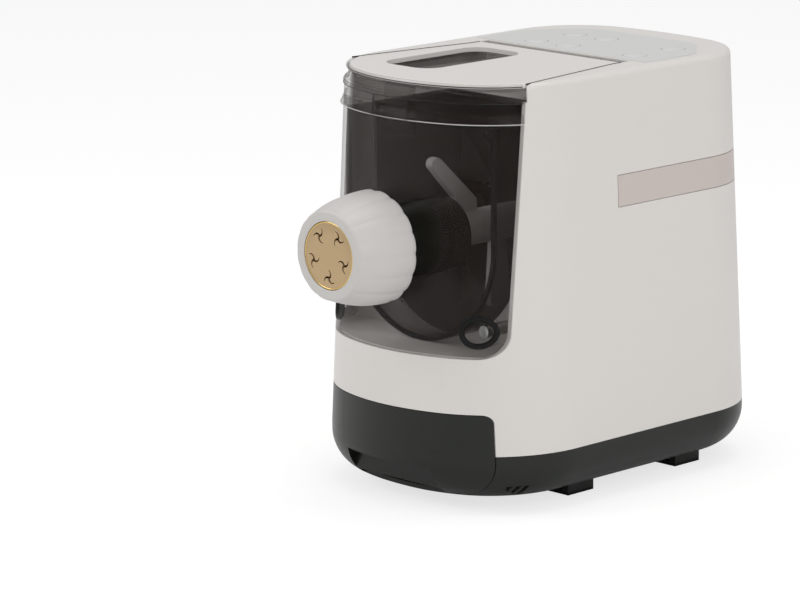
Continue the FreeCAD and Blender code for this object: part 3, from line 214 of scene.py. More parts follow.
# %% Mould grain
NUMBER = "NodeSocketFloat"
COLOUR = "NodeSocketColor"
GRAIN_SCALE = 1500
GRAIN_DETAIL = 3
PATCH_SCALE = 30
PATCH_DETAIL = 4
PATCH_SPREAD = 0.08
SATIN = 0.4
NOISE_MIDDLE = 0.5


def new_group(name, inputs, outputs):
    """An empty shader node group with named number and colour sockets."""
    tree = bpy.data.node_groups.new(name, "ShaderNodeTree")
    for label, kind, start in inputs:
        socket = tree.interface.new_socket(name=label, in_out="INPUT", socket_type=kind)
        socket.default_value = start
    for label, kind in outputs:
        tree.interface.new_socket(name=label, in_out="OUTPUT", socket_type=kind)
    return tree, tree.nodes.new("NodeGroupInput"), tree.nodes.new("NodeGroupOutput")


def build_mould_grain():
    """Fine grain: a height for the bump and a small change of roughness."""
    inputs = [("Scale", NUMBER, GRAIN_SCALE), ("Roughness", NUMBER, SATIN),
              ("Spread", NUMBER, PATCH_SPREAD)]
    outputs = [("Height", NUMBER), ("Roughness", NUMBER)]
    tree, given, result = new_group("mould_grain", inputs, outputs)
    place = tree.nodes.new("ShaderNodeTexCoord")
    fine = tree.nodes.new("ShaderNodeTexNoise")
    fine.inputs["Detail"].default_value = GRAIN_DETAIL
    tree.links.new(place.outputs["Object"], fine.inputs["Vector"])
    tree.links.new(given.outputs["Scale"], fine.inputs["Scale"])
    tree.links.new(fine.outputs["Fac"], result.inputs["Height"])
    broad = tree.nodes.new("ShaderNodeTexNoise")
    broad.inputs["Scale"].default_value = PATCH_SCALE
    broad.inputs["Detail"].default_value = PATCH_DETAIL
    tree.links.new(place.outputs["Object"], broad.inputs["Vector"])
    centred = tree.nodes.new("ShaderNodeMath")
    centred.operation = "SUBTRACT"
    centred.inputs[1].default_value = NOISE_MIDDLE
    tree.links.new(broad.outputs["Fac"], centred.inputs[0])
    scaled = tree.nodes.new("ShaderNodeMath")
    scaled.operation = "MULTIPLY_ADD"
    tree.links.new(centred.outputs[0], scaled.inputs[0])
    tree.links.new(given.outputs["Spread"], scaled.inputs[1])
    tree.links.new(given.outputs["Roughness"], scaled.inputs[2])
    tree.links.new(scaled.outputs[0], result.inputs["Roughness"])
    return tree


mould_grain = build_mould_grain()
print("group:", mould_grain.name)

# %% [markdown]
# ## Tone drift
# Moulded plastic is never one flat colour. The second group mixes two close tones of one colour
# by slow noise, which is too faint to see as a pattern but keeps a large face from looking dead.

# %% Tone drift
DRIFT_SCALE = 8
DRIFT_DETAIL = 5


def build_tone_drift():
    """A slow change between two close tones of one colour."""
    inputs = [("Colour A", COLOUR, WHITE), ("Colour B", COLOUR, WHITE),
              ("Scale", NUMBER, DRIFT_SCALE)]
    tree, given, result = new_group("tone_drift", inputs, [("Colour", COLOUR)])
    place = tree.nodes.new("ShaderNodeTexCoord")
    slow = tree.nodes.new("ShaderNodeTexNoise")
    slow.inputs["Detail"].default_value = DRIFT_DETAIL
    tree.links.new(place.outputs["Object"], slow.inputs["Vector"])
    tree.links.new(given.outputs["Scale"], slow.inputs["Scale"])
    mix = tree.nodes.new("ShaderNodeMix")
    mix.data_type = "RGBA"
    tree.links.new(slow.outputs["Fac"], mix.inputs["Factor"])
    tree.links.new(given.outputs["Colour A"], mix.inputs["A"])
    tree.links.new(given.outputs["Colour B"], mix.inputs["B"])
    tree.links.new(mix.outputs["Result"], result.inputs["Colour"])
    return tree


tone_drift = build_tone_drift()
print("group:", tone_drift.name)

# %% [markdown]
# ## Moulded plastic
# Nearly every outer piece is moulded plastic, and they differ only in colour, gloss and grain.
# One function sets those plain numbers on the Principled shader itself and takes colour,
# roughness and bump from the shared groups. Machined metal and rubber differ from plastic by a
# few numbers, so the same function makes them too.

# %% Moulded plastic
PLASTIC_IOR = 1.5
BUMP_DISTANCE = 0.0005

finishes = {}


def shaded(colour, shade):
    """The colour made darker or lighter by a factor, with full opacity."""
    return tuple(min(1, channel * shade) for channel in colour) + (1,)


def plastic(name, colour, roughness, grain=GRAIN_SCALE, bump=0.02, coat=0.0, shade=0.94,
            spread=PATCH_SPREAD, metallic=0.0, ior=PLASTIC_IOR):
    """A moulded or machined finish, kept among the finishes under its name."""
    finish = bpy.data.materials.new(name)
    finish.use_nodes = True
    tree = finish.node_tree
    shader = tree.nodes["Principled BSDF"]
    shader.inputs["IOR"].default_value = ior
    shader.inputs["Coat Weight"].default_value = coat
    shader.inputs["Metallic"].default_value = metallic
    tone = tree.nodes.new("ShaderNodeGroup")
    tone.node_tree = tone_drift
    tone.inputs["Colour A"].default_value = shaded(colour, 1)
    tone.inputs["Colour B"].default_value = shaded(colour, shade)
    tone.inputs["Scale"].default_value = DRIFT_SCALE
    tree.links.new(tone.outputs["Colour"], shader.inputs["Base Color"])
    texture = tree.nodes.new("ShaderNodeGroup")
    texture.node_tree = mould_grain
    texture.inputs["Scale"].default_value = grain
    texture.inputs["Roughness"].default_value = roughness
    texture.inputs["Spread"].default_value = spread
    tree.links.new(texture.outputs["Roughness"], shader.inputs["Roughness"])
    relief = tree.nodes.new("ShaderNodeBump")
    relief.inputs["Strength"].default_value = bump
    relief.inputs["Distance"].default_value = BUMP_DISTANCE
    tree.links.new(texture.outputs["Height"], relief.inputs["Height"])
    tree.links.new(relief.outputs["Normal"], shader.inputs["Normal"])
    finishes[name] = finish
    return finish


plastic("white_shell", (0.72, 0.69, 0.66), 0.32, bump=0.03, coat=0.15, shade=0.98)
plastic("black_base", (0.012, 0.014, 0.011), 0.30, bump=0.05, grain=2200, shade=0.8, ior=1.4)
print("finishes:", list(finishes))

# %% [markdown]
# ## Smoke plastic
# The lid, the front cover and the drum are polished clear plastic with a smoke tint. Refraction
# through so many thin walls would be slow and noisy, so the tint is made with Alpha: faint
# face on and denser where the surface turns away. A Layer Weight node gives that slope. Shadow
# rays get a low value, so that enough light reaches the inside. The drum has a denser smoke
# than the cover in front of it.

# %% Smoke plastic
CLEAR_SMOKE = 0.12
DEEP_SMOKE = 0.44
SMOKE_RIM = 0.75
SMOKE_EDGE = 6
SMOKE_SHADE = 0.05
SMOKE_ROUGHNESS = 0.05
SMOKE_SPREAD = 0.02


def smoke(name, colour, density):
    """Clear smoke plastic: see-through face on, denser towards its rims.

    Light that passes through it to the inside is held back less than what is seen through it."""
    finish = plastic(name, colour, SMOKE_ROUGHNESS, bump=0.0, spread=SMOKE_SPREAD, shade=0.9)
    tree = finish.node_tree
    view = tree.nodes.new("ShaderNodeLayerWeight")
    slope = tree.nodes.new("ShaderNodeMath")
    slope.operation = "POWER"
    slope.inputs[1].default_value = SMOKE_EDGE
    tree.links.new(view.outputs["Facing"], slope.inputs[0])
    denser = tree.nodes.new("ShaderNodeMath")
    denser.operation = "MULTIPLY_ADD"
    denser.inputs[1].default_value = SMOKE_RIM
    denser.inputs[2].default_value = density
    tree.links.new(slope.outputs[0], denser.inputs[0])
    path = tree.nodes.new("ShaderNodeLightPath")
    passed = tree.nodes.new("ShaderNodeMix")
    passed.inputs["B"].default_value = SMOKE_SHADE
    tree.links.new(path.outputs["Is Shadow Ray"], passed.inputs["Factor"])
    tree.links.new(denser.outputs[0], passed.inputs["A"])
    tree.links.new(passed.outputs["Result"], tree.nodes["Principled BSDF"].inputs["Alpha"])


smoke("smoke_plastic", (0.030, 0.018, 0.013), CLEAR_SMOKE)
smoke("smoke_deep", (0.012, 0.009, 0.008), DEEP_SMOKE)
print("smoke density:", CLEAR_SMOKE, "and", DEEP_SMOKE)

# %% [markdown]
# ## Rubber and metals
# The seal and the foot pads are matt black rubber. The pins, the shafts and the gears on them
# are machined steel. The die is turned brass with a softer, duller face, and its bevelled rim is
# polished, so the rim has a finish of its own.

# %% Rubber and metals
plastic("rubber", (0.006, 0.006, 0.006), 0.6, bump=0.15, shade=0.7, ior=1.3)
plastic("steel", (0.62, 0.62, 0.61), 0.28, grain=900, bump=0.05, shade=0.9, metallic=1.0)
plastic("brass", (0.56, 0.40, 0.22), 0.32, grain=1200, bump=0.05, shade=0.9, metallic=0.5)
plastic("brass_rim", (0.80, 0.56, 0.20), 0.18, grain=1200, metallic=0.9)
print("finishes so far:", len(finishes))

# %% [markdown]
# ## Panel, boards and grey parts
# The panel's overlay is a matt grey film. The nut, the paddle, the fan and the idler between the
# steel gears are a frosted grey white, and the band round the back is a warmer, glossier grey.
# The circuit boards inside are lacquered green with black parts.

# %% Panel, boards and grey parts
plastic("panel_grey", (0.62, 0.62, 0.61), 0.45, bump=0.05, shade=0.97)
plastic("board_green", (0.03, 0.18, 0.07), 0.4, bump=0.1, shade=0.8)
plastic("board_black", (0.03, 0.03, 0.035), 0.5, bump=0.1, shade=0.8)
plastic("grey_plastic", (0.60, 0.58, 0.56), 0.42, bump=0.05, shade=0.97)
plastic("band_grey", (0.60, 0.53, 0.50), 0.3, bump=0.03, shade=0.96)
print("finishes:", len(finishes))

# %% [markdown]
# ## Dress the solids
# The frame's record names the slot of each solid, so one loop gives every solid its finish. Two
# solids look different from the rest of their slot. The latch is part of the smoke lid to the
# eye, and the drum is a denser smoke than the cover that it is seen through.

# %% Dress the solids
for entry in frame["record"]["subparts"]:
    solid = nodes[entry["node"]]
    solid.data.materials.clear()
    solid.data.materials.append(finishes[entry["material_slot"]])
nodes["lid_latch"].data.materials[0] = finishes["smoke_plastic"]
nodes["mixing_drum"].data.materials[0] = finishes["smoke_deep"]

# %% [markdown]
# ## Points on the drafted front
# Seen from above, the front of the body is a wide arc with a tighter arc at each corner. Above
# the seam with the base the wall leans in by two and a half degrees. The lid's trim and the
# window rims follow this wall, so one function gives a point on it for any turn and height.

# %% Points on the drafted front
MM = 0.001
BODY_HALF = 100 * MM
BODY_FRONT = 132 * MM
FRONT_ARC = 137 * MM
FRONT_CORNER = 80 * MM
SEAM_HEIGHT = 41 * MM
DRAFT = math.radians(2.5)
CORNER_X = BODY_HALF - FRONT_CORNER
CORNER_DROP = math.sqrt((FRONT_ARC - FRONT_CORNER) ** 2 - CORNER_X ** 2)
CORNER_Y = FRONT_ARC - BODY_FRONT - CORNER_DROP
CORNER_TURN = math.atan2(CORNER_X, CORNER_DROP)
SEARCH_STEPS = 40


def front_point(turn, height, grow):
    """A point off the drafted front by grow. turn is 0 straight ahead, a quarter at the right."""
    out = grow - max(0, height - SEAM_HEIGHT) * math.tan(DRAFT)
    if abs(turn) < CORNER_TURN:
        x = 0
        y = FRONT_ARC - BODY_FRONT
        radius = FRONT_ARC + out
    else:
        x = math.copysign(CORNER_X, turn)
        y = CORNER_Y
        radius = FRONT_CORNER + out
    return Vector((x + radius * math.sin(turn), y - radius * math.cos(turn), height))


def front_turn_at(x, height):
    """The turn at which the front has the given distance from the middle plane."""
    low = 0
    high = math.pi / 2
    for _ in range(SEARCH_STEPS):
        middle = (low + high) / 2
        if front_point(middle, height, 0).x < abs(x):
            low = middle
        else:
            high = middle
    return math.copysign(low, x)


print("the corners start at", round(math.degrees(CORNER_TURN), 1), "degrees")

# %% [markdown]
# ## Put a piece in the scene
# Every finer piece goes through the same steps: it gets the finish of its slot or the one that
# is named, is linked to the scene, and rides on a body so that it moves with it. A piece that
# stands in for a solid of the frame hides that solid. A list keeps the names, to count them.

# %% Put a piece in the scene
made = []


def make_piece(name, shape, body, slot_name, *replaced, finish_name=None):
    """Put a mesh or curve in the scene, in the finish of its slot or in the one that is named."""
    shape.materials.append(finishes[finish_name or slot_name])
    item = bpy.data.objects.new(name, shape)
    scene.collection.objects.link(item)
    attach(item, body)
    if replaced:
        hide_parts(*replaced)
    made.append(name)


print("finer pieces so far:", len(made))

# %% [markdown]
# ## A skin over rings of points
# The nut, the die, the keys and the lid's trim are all a row of rings with a skin between them.
# A profile that is turned about an axis has a ring at each of its points, and a strip has one
# at each step along its way. Faces are shaded smooth, and edges sharper than 40 degrees stay
# crisp.

# %% A skin over rings of points
SAME_POINT = 1e-6
CRISP_EDGE = math.radians(40)


def even_turns(steps):
    """Equal turns round a full circle."""
    return [2 * math.pi * step / steps for step in range(steps)]


def skin(name, rows, joined=False, capped=False):
    """A smooth mesh over rings with the same count of points.

    joined runs the skin on from the last ring to the first, and capped fills both end rings."""
    shape = bmesh.new()
    rings = [[shape.verts.new(point) for point in row] for row in rows]
    count = len(rings)
    across = len(rings[0])
    for row in range(count if joined else count - 1):
        here = rings[row]
        there = rings[(row + 1) % count]
        for column in range(across):
            after = (column + 1) % across
            shape.faces.new((here[column], here[after], there[after], there[column]))
    if capped:
        shape.faces.new(rings[0])
        shape.faces.new(list(reversed(rings[-1])))
    bmesh.ops.remove_doubles(shape, verts=shape.verts, dist=SAME_POINT)
    bmesh.ops.recalc_face_normals(shape, faces=shape.faces)
    mesh = bpy.data.meshes.new(name)
    shape.to_mesh(mesh)
    shape.free()
    mesh.shade_smooth()
    mesh.set_sharp_from_angle(angle=CRISP_EDGE)
    return mesh


print("crisp edges from", round(math.degrees(CRISP_EDGE)), "degrees")

# %% [markdown]
# ## Points round the nozzle
# The nut and the die share one axis, which runs from front to back through the middle of the
# die. Its height comes from the die's own solid.

# %% Points round the nozzle
NOZZLE_HEIGHT = sum(corner.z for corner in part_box("shaping_die")) / 2


def nozzle_point(radius, turn, place):
    """A point round the nozzle's axis, at a place along it."""
    return (radius * math.cos(turn), place, NOZZLE_HEIGHT + radius * math.sin(turn))


print("nozzle height", round(NOZZLE_HEIGHT, 4))

# %% [markdown]
# ## Ring nut
# The nut is a bell with sixteen soft petals for the fingers. The petals deepen from its front
# ring to its rear rim. The hollow inside is plain and round: it fits the barrel at the front and
# widens at the rear. Each ring is a circle with the petals cut back by a power curve, which
# gives broad crests and narrow notches.

# %% Sizes of the ring nut
nut_low, nut_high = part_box("ring_nut")
NUT_FRONT = nut_low.y
NUT_REAR = nut_high.y
NUT_LENGTH = NUT_REAR - NUT_FRONT
NUT_RADIUS = 38.2 * MM
NUT_FACE_RADIUS = 30.5 * MM
NUT_MOUTH = 23 * MM
NUT_SHELL = 4 * MM
NUT_ROUND = 2.2 * MM
NUT_LIP = 2.5 * MM
NUT_REAR_TAPER = 0.8 * MM
MOUTH_BEVEL_DEPTH = 0.3 * MM
MOUTH_BEVEL_WIDTH = 0.4 * MM
BARREL_RADIUS = 25.5 * MM
BARREL_GAP = 0.3 * MM
BELL_LENGTH = NUT_LENGTH - 1.5 * NUT_ROUND
BELL_CURVE = 2.3
BORE_END = NUT_FRONT + 0.55 * NUT_LENGTH
HOLLOW_START = NUT_FRONT + 0.6 * NUT_LENGTH
PETALS = 16
PETAL_DEPTH = 1.0 * MM
PETAL_CURVE = 2.5
FACE_PETAL = 0.35
NUT_STEPS = 256
BELL_STEPS = 16
ROUND_STEPS = 5
print("nut length", round(NUT_LENGTH, 4))


# %% Ring nut
def bell_radius(share):
    """The outside radius of the nut, from its face at 0 to its rear rim at 1."""
    return NUT_RADIUS - (NUT_RADIUS - NUT_FACE_RADIUS) * (1 - share) ** BELL_CURVE


def petal(turn):
    """How far a petal is cut back at a turn: 0 on its crest and 1 in the notch."""
    phase = (turn * PETALS / (2 * math.pi)) % 1 - 0.5
    return (2 * abs(phase)) ** PETAL_CURVE


def nut_ring(radius, place, depth=0):
    """A ring of the nut, with notches of the given depth between its petals."""
    return [nozzle_point(radius - depth * petal(turn), turn, place) for turn in even_turns(NUT_STEPS)]


def build_nut():
    """The closed loop of rings: the mouth, the rounded face, the bell and the hollow inside."""
    rows = [nut_ring(NUT_MOUTH, NUT_FRONT + NUT_LIP),
            nut_ring(NUT_MOUTH, NUT_FRONT + MOUTH_BEVEL_DEPTH),
            nut_ring(NUT_MOUTH + MOUTH_BEVEL_WIDTH, NUT_FRONT)]
    for step in range(ROUND_STEPS + 1):
        turn = math.pi / 2 * step / ROUND_STEPS
        rows.append(nut_ring(NUT_FACE_RADIUS - NUT_ROUND * (1 - math.sin(turn)),
                             NUT_FRONT + NUT_ROUND * (1 - math.cos(turn)), FACE_PETAL * PETAL_DEPTH))
    for step in range(1, BELL_STEPS + 1):
        share = step / BELL_STEPS
        depth = PETAL_DEPTH * (FACE_PETAL + (1 - FACE_PETAL) * share)
        rows.append(nut_ring(bell_radius(share), NUT_FRONT + NUT_ROUND + BELL_LENGTH * share, depth))
    rows.append(nut_ring(NUT_RADIUS - NUT_REAR_TAPER, NUT_REAR, PETAL_DEPTH))
    rows.append(nut_ring(NUT_RADIUS - NUT_SHELL, NUT_REAR))
    rows.append(nut_ring(NUT_RADIUS - NUT_SHELL, HOLLOW_START))
    rows.append(nut_ring(BARREL_RADIUS + BARREL_GAP, BORE_END))
    rows.append(nut_ring(BARREL_RADIUS + BARREL_GAP, NUT_FRONT + NUT_LIP))
    return skin("nut_bell", rows, joined=True)


make_piece("nut_bell", build_nut(), "nut", "grey_plastic", "ring_nut")
print("nut with", PETALS, "petals")

# %% [markdown]
# ## Slots of the die
# The dough leaves through five slots, each with three curved arms in the shape of a swirl. One
# arm is a short list of points that bends and narrows as it goes out. Long bars with that
# outline are set in a circle and cut from the die, because cutting gives crisp edges right
# through the brass.

# %% Slots of the die
die_low, die_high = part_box("shaping_die")
DIE_FACE = die_low.y
SLOTS = 5
SLOT_ARMS = 3
SLOT_CIRCLE = 15 * MM
SLOT_REACH = 5.6 * MM
SLOT_HALF = 0.8 * MM
SLOT_TAPER = 0.5
SLOT_SWIRL = 1.1
SWIRL_CURVE = 1.3
SLOT_STEPS = 6
CUT_MARGIN = 1 * MM
CUT_LENGTH = 14 * MM


def swirl_arm(turn):
    """The outline of one curved arm of a slot: out along one side and back along the other."""
    left = []
    right = []
    for step in range(SLOT_STEPS + 1):
        share = step / SLOT_STEPS
        reach = SLOT_REACH * step / SLOT_STEPS
        along = turn + SLOT_SWIRL * share ** SWIRL_CURVE
        across = along + math.pi / 2
        half = SLOT_HALF * (1 - SLOT_TAPER * share ** 2)
        centre = Vector((reach * math.cos(along), 0, reach * math.sin(along)))
        side = Vector((half * math.cos(across), 0, half * math.sin(across)))
        left.append(centre + side)
        right.append(centre - side)
    return left + list(reversed(right))


def build_slot_cutter():
    """The bars to cut away, from just before the die's face to well behind it."""
    shape = bmesh.new()
    for slot_turn in even_turns(SLOTS):
        around = slot_turn - math.pi / 2
        centre = Vector(nozzle_point(SLOT_CIRCLE, around, DIE_FACE - CUT_MARGIN))
        for arm_turn in even_turns(SLOT_ARMS):
            outline = swirl_arm(around + arm_turn)
            face = shape.faces.new([shape.verts.new(point + centre) for point in outline])
            grown = bmesh.ops.extrude_face_region(shape, geom=[face])["geom"]
            moved = [item for item in grown if isinstance(item, bmesh.types.BMVert)]
            bmesh.ops.translate(shape, verts=moved, vec=(0, CUT_LENGTH, 0))
    bmesh.ops.recalc_face_normals(shape, faces=shape.faces)
    mesh = bpy.data.meshes.new("slot_cutter")
    shape.to_mesh(mesh)
    shape.free()
    return mesh


print(SLOTS, "slots with", SLOT_ARMS, "arms each")

# %% [markdown]
# ## Die
# The die is a turned disc: a flat face with a bevelled edge that shows in the mouth of the nut,
# and a wider flange behind it that the nut holds. A boolean cuts the slots, and its result is
# kept as a plain mesh.

# %% Die
DIE_FACE_RADIUS = NUT_MOUTH - BARREL_GAP
DIE_FLANGE_RADIUS = (die_high.x - die_low.x) / 2
DIE_STEP = 2 * MM
DIE_BEVEL = 0.8 * MM
DIE_BEVEL_BOW = 0.3 * DIE_BEVEL
DIE_FLAT = 0.6 * DIE_FACE_RADIUS
DIE_STEPS = 128


def build_die_blank():
    """The die before its slots are cut: its profile turned about the nozzle's axis."""
    profile = [(0, DIE_FACE), (DIE_FLAT, DIE_FACE), (DIE_FACE_RADIUS - DIE_BEVEL, DIE_FACE),
               (DIE_FACE_RADIUS - DIE_BEVEL_BOW, DIE_FACE + DIE_BEVEL_BOW),
               (DIE_FACE_RADIUS, DIE_FACE + DIE_BEVEL), (DIE_FACE_RADIUS, DIE_FACE + DIE_STEP),
               (DIE_FLANGE_RADIUS, DIE_FACE + DIE_STEP), (DIE_FLANGE_RADIUS, die_high.y),
               (0, die_high.y)]
    rows = [[nozzle_point(radius, turn, place) for turn in even_turns(DIE_STEPS)]
            for radius, place in profile]
    return skin("die_blank", rows)


def build_die():
    """The blank with its slots cut out."""
    blank = bpy.data.objects.new("die_blank", build_die_blank())
    cutter = bpy.data.objects.new("slot_cutter", build_slot_cutter())
    for item in (blank, cutter):
        scene.collection.objects.link(item)
    slots = blank.modifiers.new("slots", "BOOLEAN")
    slots.operation = "DIFFERENCE"
    slots.solver = "EXACT"
    slots.use_self = True
    slots.object = cutter
    bpy.context.view_layer.update()
    cut = blank.evaluated_get(bpy.context.evaluated_depsgraph_get())
    mesh = bpy.data.meshes.new_from_object(cut)
    for item in (blank, cutter):
        bpy.data.objects.remove(item)
    mesh.materials.clear()
    return mesh


die_mesh = build_die()
make_piece("die_disc", die_mesh, "cover", "brass", "shaping_die")
print("die:", len(die_mesh.vertices), "points")

# %% [markdown]
# ## Thin lines
# Seams, edges and the rims of round openings are thin round lines. A curve with a bevel makes
# one from a list of points, and its thickness is a single number. The first of them is the
# polished rim of the die.

# %% Thin lines
LINE_RESOLUTION = 3
DIE_RIM_RADIUS = DIE_FACE_RADIUS - 0.5 * MM
DIE_RIM_PLACE = DIE_FACE + 0.4 * MM
DIE_RIM_LINE = 0.6 * MM


def line_along(name, points, radius, body, slot_name, closed=False, finish_name=None):
    """A thin round line through the points."""
    curve = bpy.data.curves.new(name, "CURVE")
    curve.dimensions = "3D"
    curve.bevel_depth = radius
    curve.bevel_resolution = LINE_RESOLUTION
    spline = curve.splines.new("POLY")
    spline.points.add(len(points) - 1)
    for place, point in zip(spline.points, points):
        place.co = (*point, 1)
    spline.use_cyclic_u = closed
    make_piece(name, curve, body, slot_name, finish_name=finish_name)


die_rim = [nozzle_point(DIE_RIM_RADIUS, turn, DIE_RIM_PLACE) for turn in even_turns(DIE_STEPS)]
line_along("die_rim", die_rim, DIE_RIM_LINE, "cover", "brass", closed=True, finish_name="brass_rim")
print("die rim:", len(die_rim), "points")

# %% [markdown]
# ## Strips round the lid
# The smoke lid carries a soft lip round its white panel and a ridge below it. Both are an oval
# section that is carried round the drafted front, so they hug the lid at every turn.

# %% Strips round the lid
STRIP_STEPS = 72
OVAL_STEPS = 12
lid_low, lid_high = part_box("lid_shell")
panel_low, panel_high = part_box("lid_panel")
SKIRT_LOW = lid_low.z
SKIRT_END = math.radians(62.5)
LIP_HEIGHT = lid_high.z - 1.6 * MM
LIP_OUT = -2.3 * MM
RIDGE_HEIGHT = SKIRT_LOW + 15.5 * MM


def oval(grow, height, wide, tall):
    """A closed oval section, given by its middle and its half sizes."""
    return [(grow + wide * math.cos(turn), height + tall * math.sin(turn))
            for turn in even_turns(OVAL_STEPS)]


def lid_strip(name, section, end, steps=STRIP_STEPS):
    """A smoke strip round the lid's front, to the same turn at both sides.

    The section is a closed loop of distances out from the body and heights."""
    rows = []
    for step in range(steps + 1):
        turn = -end + 2 * end * step / steps
        rows.append([front_point(turn, height, grow) for grow, height in section])
    make_piece(name, skin(name, rows, capped=True), "lid", "smoke_plastic")


lid_strip("lid_lip", oval(LIP_OUT, LIP_HEIGHT, wide=1.5 * MM, tall=1.6 * MM), SKIRT_END)
lid_strip("lid_ridge", oval(0, RIDGE_HEIGHT, wide=0.9 * MM, tall=1.1 * MM), SKIRT_END)
print("lid from", round(SKIRT_LOW, 4), "to", round(lid_high.z, 4))

# %% [markdown]
# ## Skirt and latch
# Below the ridge the lid flares out a little over the front cover, and a latch plate with a
# finger lip sits in the middle of this skirt. Their sections are drawn in millimetres, out from
# the body and up from the skirt's lower edge, and carried round the front as the strips are.

# %% Skirt and latch
SKIRT_SECTION = [(-0.3, 7), (0.9, 3.5), (1.7, 1.2), (1.8, 0.3), (1.2, 0), (-0.3, 0)]
LATCH_SECTION = [(-0.5, 14), (1.2, 13), (2.0, 9), (2.4, 3), (2.4, 0.6), (1.8, 0), (-0.5, 0)]
LATCH_TURN = front_turn_at(16 * MM, SKIRT_LOW)
LATCH_LIP_TURN = front_turn_at(24 * MM, SKIRT_LOW)
LATCH_LIP_OUT = 2.2 * MM
LATCH_LIP_HEIGHT = SKIRT_LOW - 0.2 * MM
LATCH_STEPS = 24


def above_skirt(section):
    """The section as distances out from the body and heights, in metres."""
    return [(out * MM, SKIRT_LOW + up * MM) for out, up in section]


lid_strip("skirt_flare", above_skirt(SKIRT_SECTION), SKIRT_END)
lid_strip("latch_plate", above_skirt(LATCH_SECTION), LATCH_TURN, LATCH_STEPS)
latch_lip = oval(LATCH_LIP_OUT, LATCH_LIP_HEIGHT, wide=1.6 * MM, tall=1.0 * MM)
lid_strip("latch_lip", latch_lip, LATCH_LIP_TURN, LATCH_STEPS)
print("latch half turn", round(math.degrees(LATCH_TURN), 1), "degrees")

# %% [markdown]
# ## Edge lines of the lid
# Where two pieces meet, a thin dark gap draws their edge. The pale line along the skirt's lower
# edge is a painted highlight, for the light that this edge catches. Each line follows the front
# at its own height.

# %% Edge lines of the lid
EDGE_LINE = 0.3 * MM
EDGE_STEPS = 48
edge_lines = {
    "panel_edge_line": (-2.1 * MM, panel_low.z + 0.9 * MM, "black_base"),
    # painted highlight: a pale grey line along the skirt's lower edge
    "skirt_painted_highlight": (1.9 * MM, SKIRT_LOW + 0.4 * MM, "grey_plastic"),
    "ridge_line": (0.5 * MM, RIDGE_HEIGHT - 1.6 * MM, "black_base"),
}
for line_name, (grow, height, line_slot) in edge_lines.items():
    edge = [front_point(SKIRT_END * (step / EDGE_STEPS - 1), height, grow)
            for step in range(2 * EDGE_STEPS + 1)]
    line_along(line_name, edge, EDGE_LINE, "lid", line_slot)
print("edge lines:", list(edge_lines))

# %% [markdown]
# ## Seams of the latch and the lid
# A seam runs up each side of the latch plate and leans in with it. On top, a seam parts the lid
# from the housing at each side: it runs back from the front corner, closing in on the middle,
# and then straight on to the panel's rear edge.

# %% Seams of the latch and the lid
SIDES = {"left": -1, "right": 1}
LATCH_SEAM_LINE = 0.35 * MM
LATCH_SEAM_OUT = 2.3 * MM
LATCH_SEAM_LEAN = 0.08
LATCH_SEAM_TALL = 14
LATCH_SEAM_STEP = 2
for side_name, side in SIDES.items():
    seam = [front_point(side * LATCH_TURN, SKIRT_LOW + up * MM,
                        LATCH_SEAM_OUT - LATCH_SEAM_LEAN * up * MM)
            for up in range(0, LATCH_SEAM_TALL + 1, LATCH_SEAM_STEP)]
    line_along(f"latch_seam_{side_name}", seam, LATCH_SEAM_LINE, "lid", "black_base")

LID_SEAM_LINE = 0.55 * MM
LID_SEAM_HEIGHT = panel_high.z - 0.2 * MM
LID_FRONT_X = 81.8 * MM
LID_FRONT_Y = -78 * MM
LID_REAR_X = 66.4 * MM
LID_REAR_Y = 22 * MM
for side_name, side in SIDES.items():
    seam = [(side * LID_FRONT_X, LID_FRONT_Y, LID_SEAM_HEIGHT),
            (side * LID_REAR_X, LID_REAR_Y, LID_SEAM_HEIGHT),
            (side * LID_REAR_X, panel_high.y, LID_SEAM_HEIGHT)]
    line_along(f"lid_seam_{side_name}", seam, LID_SEAM_LINE, "lid", "black_base")
print("finer pieces so far:", len(made))

# %% [markdown]
# ## Keys
# Each of the six keys is a low soft cap, and a flange under the housing's top holds it in. The
# cap is a profile turned about the key's own middle, with a slight dome and a rounded shoulder.
# The shoulder is drawn in millimetres, in from the cap's side and down from its top.

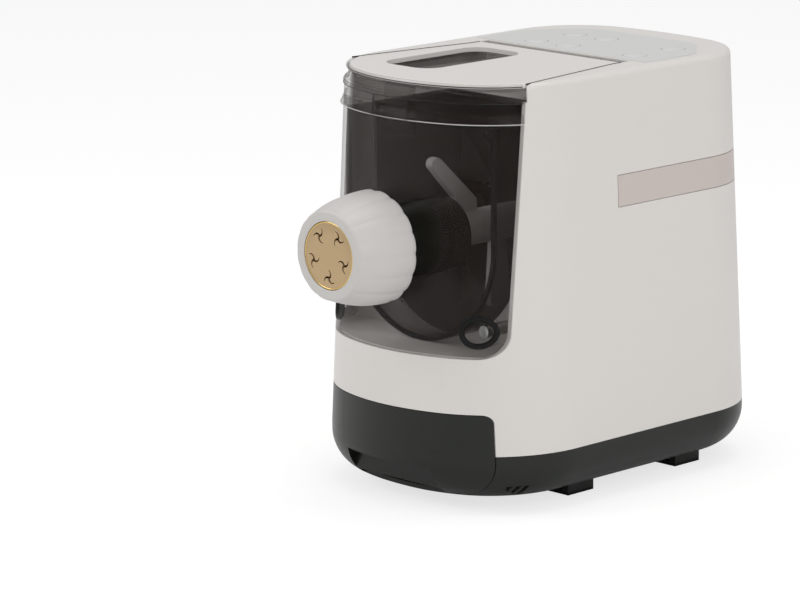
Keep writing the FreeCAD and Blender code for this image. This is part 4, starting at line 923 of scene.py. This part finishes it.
# %% Keys
KEYS = 6
KEY_STEPS = 64
KEY_FLANGE = 2 * MM
KEY_DOME = 0.05 * MM
KEY_SHOULDER = [(1.2, 0.2), (0.5, 0.5), (0.1, 0.9), (0, 1.2)]


def build_key(name, low, high):
    """A round key cap with a softly domed top, between the corners of its box."""
    middle = (low + high) / 2
    radius = (high.x - low.x) / 2 - KEY_FLANGE
    top = high.z
    flange_top = low.z + KEY_FLANGE
    profile = [(0, top), (0.5 * radius, top - KEY_DOME)]
    profile += [(radius - inward * MM, top - down * MM) for inward, down in KEY_SHOULDER]
    profile += [(radius, flange_top), (radius + KEY_FLANGE, flange_top),
                (radius + KEY_FLANGE, low.z), (0, low.z)]
    rows = [[(middle.x + reach * math.cos(turn), middle.y + reach * math.sin(turn), height)
             for turn in even_turns(KEY_STEPS)] for reach, height in profile]
    return skin(name, rows)


for index in range(1, KEYS + 1):
    key_node = f"panel_key_{index}"
    key_name = f"soft_key_{index}"
    key_mesh = build_key(key_name, *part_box(key_node))
    make_piece(key_name, key_mesh, f"key_{index}", "panel_grey", key_node)
print("keys:", KEYS)

# %% [markdown]
# ## Window rims
# Each pin shows through a round window in the front cover, and a thick black rim surrounds it.
# The rim is a closed line whose points are found on the cover's curve, so it bends with it.

# %% Window rims
pin_low, pin_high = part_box("locating_pins")
PIN_RADIUS = 4.2 * MM
PIN_X = pin_high.x - PIN_RADIUS
PIN_HEIGHT = (pin_low.z + pin_high.z) / 2
WINDOW_RADIUS = 9.3 * MM
WINDOW_LINE = 2.0 * MM
WINDOW_SINK = 1.5 * MM
WINDOW_STEPS = 48
for side_name, side in SIDES.items():
    rim = []
    for turn in even_turns(WINDOW_STEPS):
        height = PIN_HEIGHT + WINDOW_RADIUS * math.sin(turn)
        x = side * PIN_X + WINDOW_RADIUS * math.cos(turn)
        rim.append(front_point(front_turn_at(x, height), height, -WINDOW_SINK))
    line_along(f"window_rim_{side_name}", rim, WINDOW_LINE, "cover", "rubber", closed=True)
print("finer pieces:", len(made))

# %% [markdown]
# ## Finish
# The last cell prints that the scene is dressed.

# %% Finish
print("scene dressed")
